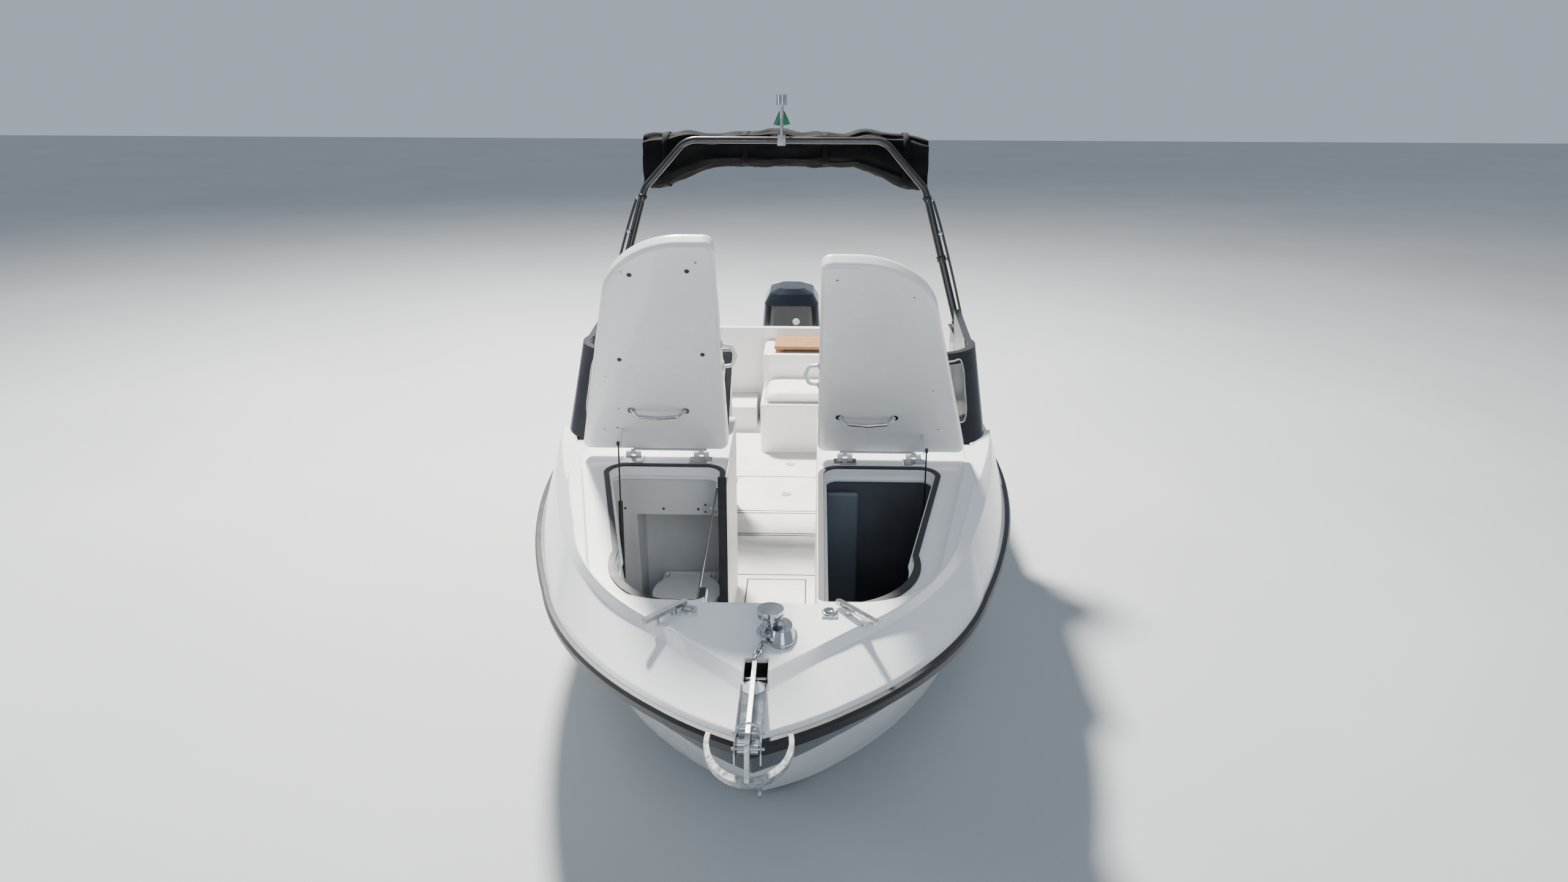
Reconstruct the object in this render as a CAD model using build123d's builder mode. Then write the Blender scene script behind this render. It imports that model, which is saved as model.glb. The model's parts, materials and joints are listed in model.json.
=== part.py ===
"""Walk-through bow speedboat with two raised hatch lids, tower and outboard.

Millimetres. The bow points to -Y, port is +X, and z = 0 is the waterline.
"""
import os
from math import atan2, cos, degrees, hypot, radians, sin, tan

from build123d import *

os.makedirs("parts", exist_ok=True)

# hull
HALF_BEAM = 1270.0
BOW = 3283.0
STERN = 3300.0
SHEER_BOW = 1080.0
SHEER_SLOPE = -0.0303
HULL_WALL = 22.0
TRANSOM_WALL = 60.0
KEEL_Z = -430.0
KEEL_HALF = 40.0
CHINE_STERN_Z = -60.0
CHINE_SLOPE = -0.0591
BAND = 190.0

SIDES = [(-1, "starboard"), (1, "port")]
FLANGE_DROP = 50.0
COMPARTMENT_Z = 262.0

HULL_CUT = 255.0

# half plans from midships to the stem, as shares of the half beam and of the bow's reach
SHEER_PLAN = [(1.0, 0.0), (0.9331, 0.3838), (0.7528, 0.6458), (0.5433, 0.8157), (0.2701, 0.9315),
              (0.1480, 0.9680), (0.0, 1.0)]
BAND_PLAN = [(0.980, 0.0), (0.902, 0.376), (0.685, 0.624), (0.472, 0.780), (0.224, 0.889), (0.122, 0.926),
             (0.0, 0.9595)]
CHINE_PLAN = [(0.858, 0.0), (0.776, 0.320), (0.567, 0.518), (0.409, 0.615), (0.205, 0.7005),
              (0.110, 0.728), (0.0, 0.7493)]
CREASE_PLAN = [(0.921, 0.0), (0.866, 0.3655), (0.709, 0.6031), (0.565, 0.7249), (0.260, 0.8529),
               (0.134, 0.9016), (0.0, 0.9503)]
CROWN_PLAN = [(0.843, 0.0), (0.811, 0.3503), (0.669, 0.6031), (0.526, 0.7402), (0.2835, 0.8331),
              (0.134, 0.8833), (0.0, 0.9260)]

# deck
FORE_END = -720.0
DECK_WALL = 24.0
TOP_Z = 1330.0
TOP_Y = -1250.0
TOP_SLOPE = 0.103
SIDE_DECK_RISE = 205.0
COCKPIT_HALF = 985.0
COCKPIT_END = 2500.0
WALK_HALF = 222.0
WALK_FRONT = -2575.0
STEP_FRONT = -1950.0
STEP_Z = 800.0
DOOR_FRONT = -2400.0
DOOR_AFT = -1430.0
DOOR_SILL = 600.0
LINER_WALL = 28.0
SOLE_TOP = 350.0
SOLE_THICK = 30.0
WELL_HALF = 475.0
WELL_FRONT = COCKPIT_END + 90.0
WELL_FLOOR = 330.0

# hatches and lids
HATCH_IN = 255.0
HATCH_OUT = 797.0
HATCH_AFT = -1318.0
HATCH_FRONT = -2490.0
HATCH_KNEE = -2130.0
HATCH_TAPER = 170.0
HATCH_CORNER = 70.0
# the starboard compartment's pocket aft of its hatch, over the toilet
HEAD_IN = 262.0
HEAD_OUT = 690.0
HEAD_AFT = -1000.0
HEAD_ROOF = 1050.0
RIM = 50.0
CREST_Z = 1335.0
CREASE_Z = 1145.0
CREASE_SLOPE = 0.075
SEAL_WIDTH = 26.0
SEAL_HIGH = 6.0
LID_GAP = 12.0
LID_THICK = 88.0
LID_WALL = 10.0
OPEN_ANGLE = {"starboard": 65.0, "port": 60.0}
LID_IN = 223.0
LID_OUT = 962.0
LID_FRONT = -2550.0
LID_TAPER = 236.8
LID_KNEE = -2257.5
LID_CORNER = 45.0
RECESS_GAP = 12.0
HINGE_LIFT = 16.0
HINGE_Y = -1192.0
PIN_RADIUS = 5.0

# hinges and handles
LID_AFT = -1218.0
LID_ROUND = 26.0
HINGE_X = (362.0, 706.0)
PIN_GAP = 0.05
GRAB_X = {"starboard": -548.0, "port": 457.0}
GRAB_Y = -1520.0
GRAB_LENGTH = 262.0
GRAB_STAND = 52.0
DEE_Y = {"starboard": -1870.0, "port": -1805.0}

# struts
STRUT_X = 752.0
STRUT_ARM = 175.0
STRUT_DROP = 70.0
STRUT_LOW_Y = -1400.0
STRUT_LOW_Z = 740.0
BARREL_RADIUS = 11.0
NICHE_HALF = 56.0
NICHE_DEEP = 24.0
NICHE_LOW = 700.0
NICHE_HIGH = 1176.0
ROD_RADIUS = 4.0
BARREL_LENGTH = 420.0
ROD_LENGTH = 440.0

# tower
TOWER_TUBE = 24.0
TOWER_FOOT = (1148.0, 620.0, 1545.0)
TOWER_KNUCKLE = (905.0, 815.0, 2440.0)
TOWER_TOP_Z = 2735.0
TOWER_TOP_Y = 900.0
REAR_FOOT_Y = 800.0
REAR_TOP_Y = 905.0

TOWER_SHOULDER = 640.0
TOWER_BEND = 150.0
CANVAS_FRONT = 932.0
CANVAS_DEPTH = 330.0
CANVAS_HALF = 935.0
CANVAS_TOP = 2815.0
CANVAS_LOW = 2412.0

# windscreens
SCREEN_WALL = 40.0
SCREEN_IN = 246.0
SCREEN_FRONT = -1306.0
SCREEN_TURN = 1140.0
SCREEN_AFT = 540.0
SCREEN_RAKE = 748.0
SCREEN_LOW = 1040.0
SCREEN_TOP = 1720.0
PANE_IN = 296.0
PANE_OUT = 1010.0
PANE_LOW = 1440.0
PANE_HIGH = 1672.0

# ground tackle
DECK_NOSE_Z = 1150.0
ROLLER_HALF = 45.0
ROLLER_AFT = -BOW + 243.0
ROLLER_FRONT = -BOW - 107.0
ROLLER_PINS = ((ROLLER_FRONT - 5.0, 4.0), (ROLLER_FRONT + 60.0, 20.0))
ANCHOR_EYE = -BOW + 350.0
SLOT_IN = -44.0
SLOT_OUT = 56.0
SLOT_LONG = 130.0
SLOT_DEEP = 55.0
ROLLER_RADIUS = 17.0
SHANK_Z = DECK_NOSE_Z + ROLLER_PINS[1][1] + ROLLER_RADIUS
SHANK_HALF = 8.0
CLAW_Z = 1050.0
CLAW_Y = ROLLER_FRONT - 70.0
CLAW_TILT = 0.437
CLAW_HALF = 145.0
CLAW_REACH = 182.0
CLAW_ARM = 17.0
CLAW_THICK = 32.0
WINDLASS_X = 48.0
WINDLASS_Y = -2760.0
WINDLASS_Z = 1214.0

# helm and cockpit
HELM_X = 610.0
DASH_HALF = 320.0
DASH_FRONT = -692.0
DASH_BACK = -420.0
DASH_LOW = 760.0
DASH_TOP = 1180.0
WHEEL_TILT = 25.0
WHEEL_RADIUS = 165.0
# seats: name, x range, y range, base height, cushion, back
SEATS = [
    ("helm_seat", -940.0, -330.0, 120.0, 620.0, 790.0, 90.0, 110.0),
    ("aft_bench", -200.0, 975.0, COCKPIT_END - 940.0, COCKPIT_END - 460.0, 740.0, 90.0, 0.0),
]
MODULE_IN = -200.0
MODULE_FRONT = COCKPIT_END - 460.0
MODULE_TOP = 1010.0
TABLE_IN = -110.0
TABLE_OUT = 620.0
TABLE_FRONT = MODULE_FRONT + 50.0
TABLE_BACK = COCKPIT_END - 60.0
TOILET_X = -445.0
TOILET_Y = HEAD_AFT - 295.0
TOILET_TOP = 600.0
TOILET_HINGE_Y = TOILET_Y + 205.0
TOILET_HINGE_Z = TOILET_TOP + 20.0
LIGHT_X = -22.0
LIGHT_TOP = 3018.0
EYE_RADIUS = 12.0
# eyes: name, x, y, z, direction across, direction along
EYES = [
    ("bow_eye", 0.0, -2620.0, 420.0, 0.0, -1.0),
    ("stern_eye_starboard", -700.0, STERN, 120.0, 0.0, 1.0),
    ("stern_eye_port", 700.0, STERN, 120.0, 0.0, 1.0),
]
PLATFORM = 260.0
PLATFORM_Z = 300.0

# outboard
TILT_Y = STERN + 30.0
STEER_Y = TILT_Y + 62.0
TILT_Z = 415.0
COWL_HALF = 262.0
COWL_LENGTH = 690.0
COWL_BASE = 500.0
COWL_TOP = 1265.0
COWL_FRONT = STEER_Y - 157.0
TILT_PIN = 14.0
STEER_PIN = 20.0
SHAFT = 12.0
PROP_LENGTH = 110.0
# cowl levels: height, half width, front and back of its foremost point, corner radius
COWL_LEVELS = [
    (500.0, 190.0, 55.0, 565.0, 90.0),
    (640.0, 252.0, 11.0, 655.0, 120.0),
    (930.0, 262.0, 0.0, 690.0, 130.0),
    (1130.0, 246.0, 17.0, 665.0, 130.0),
    (1225.0, 196.0, 65.0, 595.0, 110.0),
    (1265.0, 110.0, 135.0, 485.0, 70.0),
]
PROP_Z = -330.0
PROP_RADIUS = 185.0
PROP_FRONT = STEER_Y + 248.0


def sheer(y):
    """Height of the rub rail line at y."""
    return SHEER_BOW + SHEER_SLOPE * (y + BOW)


def top(y):
    """Height of the foredeck's upper plane at y."""
    return TOP_Z + TOP_SLOPE * (y - TOP_Y)


def deck_top(y):
    """Height of the crown under a bow fitting."""
    return top(y) + RIM - 6


def side_top(y):
    """Height of the side deck under a fitting."""
    return sheer(y) + SIDE_DECK_RISE - 2


# name, x, y, turn in degrees, rule for the height
CLEATS = [
    ("bow_cleat_starboard", -356.0, -2690.0, -40.0, deck_top),
    ("bow_cleat_port", 372.0, -2675.0, 40.0, deck_top),
    ("stern_cleat_starboard", -1115.0, COCKPIT_END - 60.0, 0.0, side_top),
    ("stern_cleat_port", 1115.0, COCKPIT_END - 60.0, 0.0, side_top),
]


def tilted(z_at_bow, slope):
    """Plane whose own y axis climbs by slope, passing z_at_bow over the stem."""
    turn = degrees(atan2(slope, 1.0))
    return Plane(origin=(0, 0, z_at_bow + slope * BOW), x_dir=(1, 0, 0),
                 z_dir=(0, -sin(radians(turn)), cos(radians(turn))))


def outline(side, nose, stern=STERN, half=SHEER_PLAN):
    """Closed plan of the boat pulled in by side across and by nose at the stem."""
    port = [(x * (HALF_BEAM - side), -y * (BOW - nose)) for x, y in half]
    starboard = [(-x, y) for x, y in port]
    with BuildLine() as line:
        Line((starboard[0][0], stern), (port[0][0], stern))
        Line((port[0][0], stern), port[0])
        ThreePointArc(port[0], port[1], port[2])
        ThreePointArc(port[2], port[3], port[4])
        ThreePointArc(port[4], port[5], port[6])
        ThreePointArc(starboard[6], starboard[5], starboard[4])
        ThreePointArc(starboard[4], starboard[3], starboard[2])
        ThreePointArc(starboard[2], starboard[1], starboard[0])
        Line(starboard[0], (starboard[0][0], stern))
    return line.wires()[0]


def stack(levels):
    """Loft of outlines; each level is plane, side inset, nose inset, stern and half plan."""
    with BuildPart() as body:
        for plane, side, nose, stern, half in levels:
            with BuildSketch(plane):
                add(make_face(outline(side, nose, stern, half)))
        loft(ruled=True)
    return body.part


def rod_between(a, b, radius):
    """Round bar from point a to point b."""
    a, b = Vector(*a), Vector(*b)
    with BuildPart() as bar:
        with BuildSketch(Plane(origin=a, z_dir=b - a)):
            Circle(radius)
        extrude(amount=(b - a).length)
    return bar.part


def swept(points, radius, bend):
    """Tube along points with rounded corners."""
    with BuildPart() as pipe:
        with BuildLine() as path:
            FilletPolyline(*points, radius=bend)
        with BuildSketch(Plane(origin=path.line @ 0, z_dir=path.line % 0)):
            Circle(radius)
        sweep()
    return pipe.part


def hatch_plan(grow, side, shift=(0.0, 0.0, 0.0)):
    """Closed plan of a hatch grown by grow; side is 1 to port; shift moves the aft, outer and front edges."""
    inner = HATCH_IN - grow
    aft = HATCH_AFT + grow + shift[0]
    outer = HATCH_OUT + grow + shift[1]
    front = HATCH_FRONT - grow + shift[2]
    corner = HATCH_CORNER + grow
    near = 0.293 * corner
    knee = HATCH_KNEE + shift[2]
    with BuildLine() as line:
        Line((side * inner, front), (side * inner, aft - corner))
        ThreePointArc((side * inner, aft - corner), (side * (inner + near), aft - near),
                      (side * (inner + corner), aft))
        Line((side * (inner + corner), aft), (side * (outer - corner), aft))
        ThreePointArc((side * (outer - corner), aft), (side * (outer - near), aft - near),
                      (side * outer, aft - corner))
        Line((side * outer, aft - corner), (side * (outer - HATCH_TAPER), knee))
        ThreePointArc((side * (outer - HATCH_TAPER), knee), (side * (outer - HATCH_TAPER - 52), front + 140),
                      (side * (outer - HATCH_TAPER - 230), front))
        Line((side * (outer - HATCH_TAPER - 230), front), (side * inner, front))
    return line.wires()[0]


def lid_plan(grow, side):
    """Closed plan of a lid grown by grow, with its square free end."""
    inner = LID_IN - grow
    outer = LID_OUT + grow
    aft = LID_AFT + grow
    front = LID_FRONT - grow
    corner = LID_CORNER + grow
    near = 0.293 * corner
    bend = outer - LID_TAPER
    with BuildLine() as line:
        Line((side * inner, front + corner), (side * inner, aft - corner))
        ThreePointArc((side * inner, aft - corner), (side * (inner + near), aft - near),
                      (side * (inner + corner), aft))
        Line((side * (inner + corner), aft), (side * (outer - corner), aft))
        ThreePointArc((side * (outer - corner), aft), (side * (outer - 0.3762 * corner),
                                                       aft - 0.3002 * corner),
                      (side * (outer - 0.222 * corner), aft - 0.975 * corner))
        Line((side * (outer - 0.222 * corner), aft - 0.975 * corner), (side * bend, LID_KNEE))
        ThreePointArc((side * bend, LID_KNEE), (side * (bend - 132.5), front + 82),
                      (side * (bend - 367), front))
        Line((side * (bend - 367), front), (side * (inner + corner), front))
        ThreePointArc((side * (inner + corner), front), (side * (inner + near), front + near),
                      (side * inner, front + corner))
    return line.wires()[0]


DECK_PLANE = Plane(origin=(0, TOP_Y, TOP_Z), x_dir=(1, 0, 0), z_dir=(0, -TOP_SLOPE, 1.0))


def on_deck(lift):
    """Foredeck plane lifted by lift, whose sketch y follows the boat's y."""
    plane = DECK_PLANE.offset(lift)
    return Plane(origin=plane.origin - plane.y_dir * TOP_Y, x_dir=plane.x_dir, z_dir=plane.z_dir)


def hatch_block(grow, side, low, high, shift=(0.0, 0.0, 0.0)):
    """Solid over a hatch plan between two heights above the foredeck plane."""
    with BuildPart() as block:
        with BuildSketch(on_deck(low)):
            add(make_face(hatch_plan(grow, side, shift)))
        extrude(amount=high - low)
    return block.part


def lid_block(grow, side, low, high):
    """Solid over a lid plan between two heights above the foredeck plane."""
    with BuildPart() as block:
        with BuildSketch(on_deck(low)):
            add(make_face(lid_plan(grow, side)))
        extrude(amount=high - low)
    return block.part


def box(x0, x1, y0, y1, z0, z1):
    """Solid box between limits."""
    block = Box(abs(x1 - x0), abs(y1 - y0), abs(z1 - z0), mode=Mode.PRIVATE)
    return Pos((x0 + x1) / 2, (y0 + y1) / 2, (z0 + z1) / 2) * block


def deck_box(x0, x1, y0, y1, low, high):
    """Solid box lying in the foredeck plane, between two heights above it."""
    with BuildPart() as block:
        with BuildSketch(on_deck(low)):
            with Locations(((x0 + x1) / 2, (y0 + y1) / 2)):
                Rectangle(abs(x1 - x0), abs(y1 - y0))
        extrude(amount=high - low)
    return block.part


def deck_bar(x0, x1, y, lift, radius):
    """Round bar across the boat at a height above the foredeck plane."""
    centre = on_deck(lift).from_local_coords((0, y, 0))
    return rod_between((x0, centre.Y, centre.Z), (x1, centre.Y, centre.Z), radius)


def save(part, name):
    """Label a part and write its file."""
    part.label = name
    export_step(part, f"parts/{name}.step")


# hull shell
sheer_plane = tilted(SHEER_BOW, SHEER_SLOPE)
band_plane = sheer_plane.offset(-BAND)
chine_bow_z = CHINE_STERN_Z - CHINE_SLOPE * (STERN + BOW)
HOLD_END = STERN - TRANSOM_WALL
with BuildPart() as hull:
    add(stack([
        (sheer_plane, 0, 0, STERN, SHEER_PLAN),
        (band_plane, 0, 0, STERN, BAND_PLAN),
        (tilted(chine_bow_z, CHINE_SLOPE), 0, 0, STERN, CHINE_PLAN),
        (Plane.XY.offset(KEEL_Z), HALF_BEAM - KEEL_HALF, 1850, STERN, SHEER_PLAN),
    ]))
    add(stack([
        (sheer_plane.offset(1), HULL_WALL, HULL_WALL + 6, HOLD_END, SHEER_PLAN),
        (band_plane, HULL_WALL, HULL_WALL + 12, HOLD_END, BAND_PLAN),
        (tilted(chine_bow_z + 14, CHINE_SLOPE), HULL_WALL, 60, HOLD_END, CHINE_PLAN),
        (Plane.XY.offset(KEEL_Z + HULL_WALL), HALF_BEAM - KEEL_HALF + 8, 1930, HOLD_END, SHEER_PLAN),
    ]), mode=Mode.SUBTRACT)
    add(box(-WELL_HALF, WELL_HALF, STERN - 200, STERN + 50, WELL_FLOOR, 1400), mode=Mode.SUBTRACT)

# rub rail along the sheer
with BuildPart() as rub_rail:
    add(stack([
        (sheer_plane.offset(-34), -14, -16, STERN + 4, SHEER_PLAN),
        (sheer_plane.offset(-2), -22, -24, STERN + 4, SHEER_PLAN),
        (sheer_plane.offset(14), -14, -16, STERN + 4, SHEER_PLAN),
    ]))
    add(stack([
        (sheer_plane.offset(-40), 1.5, 2.0, STERN + 90, SHEER_PLAN),
        (sheer_plane, 0.0, 0.0, STERN + 90, SHEER_PLAN),
        (sheer_plane.offset(30), 15.0, 22.0, STERN + 90, SHEER_PLAN),
    ]), mode=Mode.SUBTRACT)
    add(box(-WELL_HALF - 10, WELL_HALF + 10, STERN - 60, STERN + 60, 600, 1400), mode=Mode.SUBTRACT)


# deck moulding: foredeck shell with the lids' recess, side decks, transom wall and motor well
crease_plane = tilted(CREASE_Z, CREASE_SLOPE)
fore_skin = stack([
    (sheer_plane, 0, 0, STERN, SHEER_PLAN),
    (sheer_plane.offset(30), 16, 24, STERN, SHEER_PLAN),
    (crease_plane, 0, 0, STERN, CREASE_PLAN),
    (on_deck(RIM), 0, 0, STERN, CROWN_PLAN),
]) - box(-1500, 1500, FORE_END, STERN + 100, 600, 3000)
for side in (-1, 1):
    fore_skin = fore_skin - lid_block(RECESS_GAP, side, 0, RIM + 60)
    fore_skin = fore_skin - deck_box(side * 200, side * (LID_OUT + RECESS_GAP), LID_AFT - 120,
                                     FORE_END + 60, 0, RIM + 60)
    fore_skin = fore_skin - box(side * (LID_OUT + RECESS_GAP - 1), side * 1500, LID_KNEE, FORE_END + 60,
                                CREST_Z, 3000)
side_skin = stack([
    (sheer_plane, 0, 0, STERN, SHEER_PLAN),
    (sheer_plane.offset(SIDE_DECK_RISE), 62, 60, STERN - 15, SHEER_PLAN),
]) - box(-1500, 1500, -4000, FORE_END, 600, 3000)
deck_envelope = fore_skin + side_skin
with BuildPart() as deck_fore:
    add(fore_skin)
    add(stack([
        (sheer_plane.offset(-1), DECK_WALL, 30, STERN + 50, SHEER_PLAN),
        (sheer_plane.offset(30), 16 + DECK_WALL, 24 + 30, STERN + 50, SHEER_PLAN),
        (crease_plane.offset(-DECK_WALL), 14, 24, STERN + 50, CREASE_PLAN),
        (on_deck(-DECK_WALL), 16, 30, STERN + 50, CROWN_PLAN),
    ]), mode=Mode.SUBTRACT)
    for side in (-1, 1):
        add(hatch_block(12, side, -FLANGE_DROP - 12, -2))
    for side in (-1, 1):
        add(hatch_block(0, side, -FLANGE_DROP, 60), mode=Mode.SUBTRACT)
        add(hatch_block(-14, side, -FLANGE_DROP - 20, 60), mode=Mode.SUBTRACT)
    add(box(-WALK_HALF, WALK_HALF, WALK_FRONT, FORE_END + 10, 900, 1600), mode=Mode.SUBTRACT)
    add(box(-WALK_HALF, WALK_HALF, WALK_FRONT - DECK_WALL, WALK_FRONT, STEP_Z, deck_top(WALK_FRONT)))
    slot_aft = -BOW + 363
    add(box(SLOT_IN, SLOT_OUT, slot_aft - SLOT_LONG, slot_aft, top(slot_aft) - SLOT_DEEP - 12,
            top(slot_aft) - 10))
    add(box(SLOT_IN + 8, SLOT_OUT - 8, slot_aft - SLOT_LONG + 8, slot_aft - 8, top(slot_aft) - SLOT_DEEP,
            1400),
        mode=Mode.SUBTRACT)
    add(box(-SHANK_HALF - 4, SHANK_HALF + 4, -BOW - 100, slot_aft - 10, SHANK_Z - 2, 1400),
        mode=Mode.SUBTRACT)
    add(box(-WALK_HALF - 40, -WALK_HALF + 10, DOOR_FRONT, DOOR_AFT, DOOR_SILL, 1500), mode=Mode.SUBTRACT)
with BuildPart() as deck_aft:
    add(side_skin)
    add(box(-COCKPIT_HALF, COCKPIT_HALF, FORE_END - 5, COCKPIT_END, 600, 3000), mode=Mode.SUBTRACT)
    add(box(-1500, 1500, WELL_FRONT, STERN + 50, sheer(STERN) + 28, 3000), mode=Mode.SUBTRACT)
    add(box(-COCKPIT_HALF, COCKPIT_HALF, COCKPIT_END, WELL_FRONT, SOLE_TOP, 950))
    add(box(-WELL_HALF, WELL_HALF, WELL_FRONT, STERN + 50, 700, 3000), mode=Mode.SUBTRACT)
    add(box(-WELL_HALF, WELL_HALF, WELL_FRONT - 8, STERN - TRANSOM_WALL, WELL_FLOOR - 20, WELL_FLOOR))
    for side in (-1, 1):
        add(box(side * WELL_HALF, side * (WELL_HALF + 20), WELL_FRONT - 8, STERN - TRANSOM_WALL,
                WELL_FLOOR - 20, 890))
aft_deck = deck_aft.part - hull.part
foredeck = deck_fore.part - hull.part
save(rub_rail.part - side_skin, "rub_rail")

# cockpit liner: sole with the walkway, sides, fore bulkheads and step
sole_half = COCKPIT_HALF + LINER_WALL
with BuildPart() as cockpit_liner:
    add(box(-sole_half, sole_half, FORE_END, COCKPIT_END + 80, SOLE_TOP - SOLE_THICK, SOLE_TOP))
    add(box(-WALK_HALF - 18, WALK_HALF + 18, STEP_FRONT - SOLE_THICK, FORE_END, SOLE_TOP - SOLE_THICK,
            SOLE_TOP))
    add(box(-WALK_HALF - 18, WALK_HALF + 18, STEP_FRONT - SOLE_THICK, STEP_FRONT, SOLE_TOP, STEP_Z))
    add(box(-WALK_HALF - 18, WALK_HALF + 18, WALK_FRONT - DECK_WALL, STEP_FRONT, STEP_Z - SOLE_THICK, STEP_Z))
    add(box(-COCKPIT_HALF, MODULE_IN - 60, COCKPIT_END - 420, COCKPIT_END - 0.5, SOLE_TOP, SOLE_TOP + 200))
    for side, name in SIDES:
        with BuildSketch(Plane.YZ.offset(side * COCKPIT_HALF)):
            Polygon((FORE_END, SOLE_TOP), (COCKPIT_END, SOLE_TOP), (COCKPIT_END, sheer(COCKPIT_END)),
                    (FORE_END, sheer(FORE_END)), align=None)
        extrude(amount=side * LINER_WALL)
        with BuildSketch(Plane.XZ.offset(-FORE_END)):
            Polygon((side * WALK_HALF, SOLE_TOP), (side * COCKPIT_HALF, SOLE_TOP),
                    (side * COCKPIT_HALF, sheer(FORE_END) + SIDE_DECK_RISE),
                    (side * (COCKPIT_HALF + 95), sheer(FORE_END) + SIDE_DECK_RISE),
                    (side * (COCKPIT_HALF + 10), top(FORE_END) - 2), (side * WALK_HALF,
                                                                      top(FORE_END) - 2), align=None)
        extrude(amount=-LINER_WALL)
        with BuildSketch(Plane.YZ.offset(side * WALK_HALF)):
            Polygon((WALK_FRONT, STEP_Z), (STEP_FRONT, STEP_Z), (STEP_FRONT, SOLE_TOP), (FORE_END, SOLE_TOP),
                    (FORE_END, top(FORE_END) - DECK_WALL), (HATCH_AFT + 14, top(HATCH_AFT) - DECK_WALL),
                    (HATCH_AFT + 14, top(HATCH_AFT) - FLANGE_DROP - 14), (WALK_FRONT,
                                                                          top(WALK_FRONT) - FLANGE_DROP - 14),
                    align=None)
        extrude(amount=side * 18)
    add(box(-WALK_HALF - 40, -WALK_HALF + 10, DOOR_FRONT, DOOR_AFT, DOOR_SILL, 1500), mode=Mode.SUBTRACT)
    with BuildSketch(Plane.YZ.offset(WALK_HALF + 60)):
        Polygon((DASH_FRONT, DASH_LOW), (DASH_FRONT, DASH_TOP), (DASH_FRONT + 60, DASH_TOP),
                (DASH_BACK - 110, DASH_TOP - 90),
                (DASH_BACK - 130, DASH_LOW), align=None)
    extrude(amount=COCKPIT_HALF - WALK_HALF - 60)
save(cockpit_liner.part - foredeck - aft_deck, "cockpit_liner")

# compartment liners under the hatches
for side, name in SIDES:
    low_shift = (150.0, -20.0, 480.0)
    niche_aft = STRUT_LOW_Y + NICHE_HALF
    niche_front = STRUT_LOW_Y - NICHE_HALF
    niche_out = side * (STRUT_X + NICHE_DEEP)
    with BuildPart() as compartment:
        with BuildSketch(Plane.XY.offset(COMPARTMENT_Z)):
            add(make_face(hatch_plan(12, side, low_shift)))
        with BuildSketch(on_deck(-FLANGE_DROP - 12)):
            add(make_face(hatch_plan(12, side)))
        loft(ruled=True)
        add(box(side * STRUT_X, niche_out + side * 12, niche_front - 12, niche_aft + 12,
                NICHE_LOW - 12, NICHE_HIGH + 12))
        if side < 0:
            add(box(-HEAD_OUT - 12, -HEAD_IN + 12, HATCH_AFT - 30, HEAD_AFT + 12,
                    COMPARTMENT_Z, HEAD_ROOF + 12))
        with BuildSketch(Plane.XY.offset(COMPARTMENT_Z + 18)):
            add(make_face(hatch_plan(0, side, low_shift)))
        with BuildSketch(on_deck(-FLANGE_DROP - 11)):
            add(make_face(hatch_plan(0, side)))
        loft(ruled=True, mode=Mode.SUBTRACT)
        add(box(side * (STRUT_X - 50), niche_out, niche_front, niche_aft, NICHE_LOW, NICHE_HIGH),
            mode=Mode.SUBTRACT)
        if side < 0:
            add(box(-HEAD_OUT, -HEAD_IN, HATCH_AFT - 40, HEAD_AFT, COMPARTMENT_Z + 18, HEAD_ROOF),
                mode=Mode.SUBTRACT)
        with BuildSketch(Plane.YZ.offset(side * (STRUT_X + 12))):
            with Locations((STRUT_LOW_Y, STRUT_LOW_Z)):
                Circle(PIN_RADIUS * 2)
        extrude(amount=side * 40)
        with BuildSketch(Plane.YZ.offset(side * (STRUT_X - 8))):
            with Locations((STRUT_LOW_Y, STRUT_LOW_Z)):
                Circle(PIN_RADIUS)
        extrude(amount=side * 40)
        if side < 0:
            add(box(-HATCH_IN - 10, -WALK_HALF + 10, DOOR_FRONT, DOOR_AFT, DOOR_SILL, 1500),
                mode=Mode.SUBTRACT)
    save(compartment.part, f"{name}_compartment")
    seal = hatch_block(2 + SEAL_WIDTH, side, 0, SEAL_HIGH) - hatch_block(2, side, -10, 30)
    if side < 0:
        seal = seal - box(-HATCH_IN - 10, -WALK_HALF + 10, DOOR_FRONT, DOOR_AFT, DOOR_SILL, 1500)
        seal = seal + box(-HATCH_IN - 6, -WALK_HALF + 4, DOOR_AFT - SEAL_HIGH, DOOR_AFT, DOOR_SILL,
                          top(DOOR_AFT) + SEAL_HIGH)
    save(seal, f"{name}_hatch_seal")


# lids, modelled closed on the foredeck plane and turned to their open rest
hinge_point = on_deck(HINGE_LIFT).from_local_coords((0, HINGE_Y, 0))
hinge_axis = Axis((0, hinge_point.Y, hinge_point.Z), (1, 0, 0))


def opened(point, angle):
    """Point of a closed lid turned to its open rest."""
    turn = radians(-angle)
    dy = point.Y - hinge_point.Y
    dz = point.Z - hinge_point.Z
    return Vector(point.X, hinge_point.Y + dy * cos(turn) - dz * sin(turn),
                  hinge_point.Z + dy * sin(turn) + dz * cos(turn))


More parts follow.
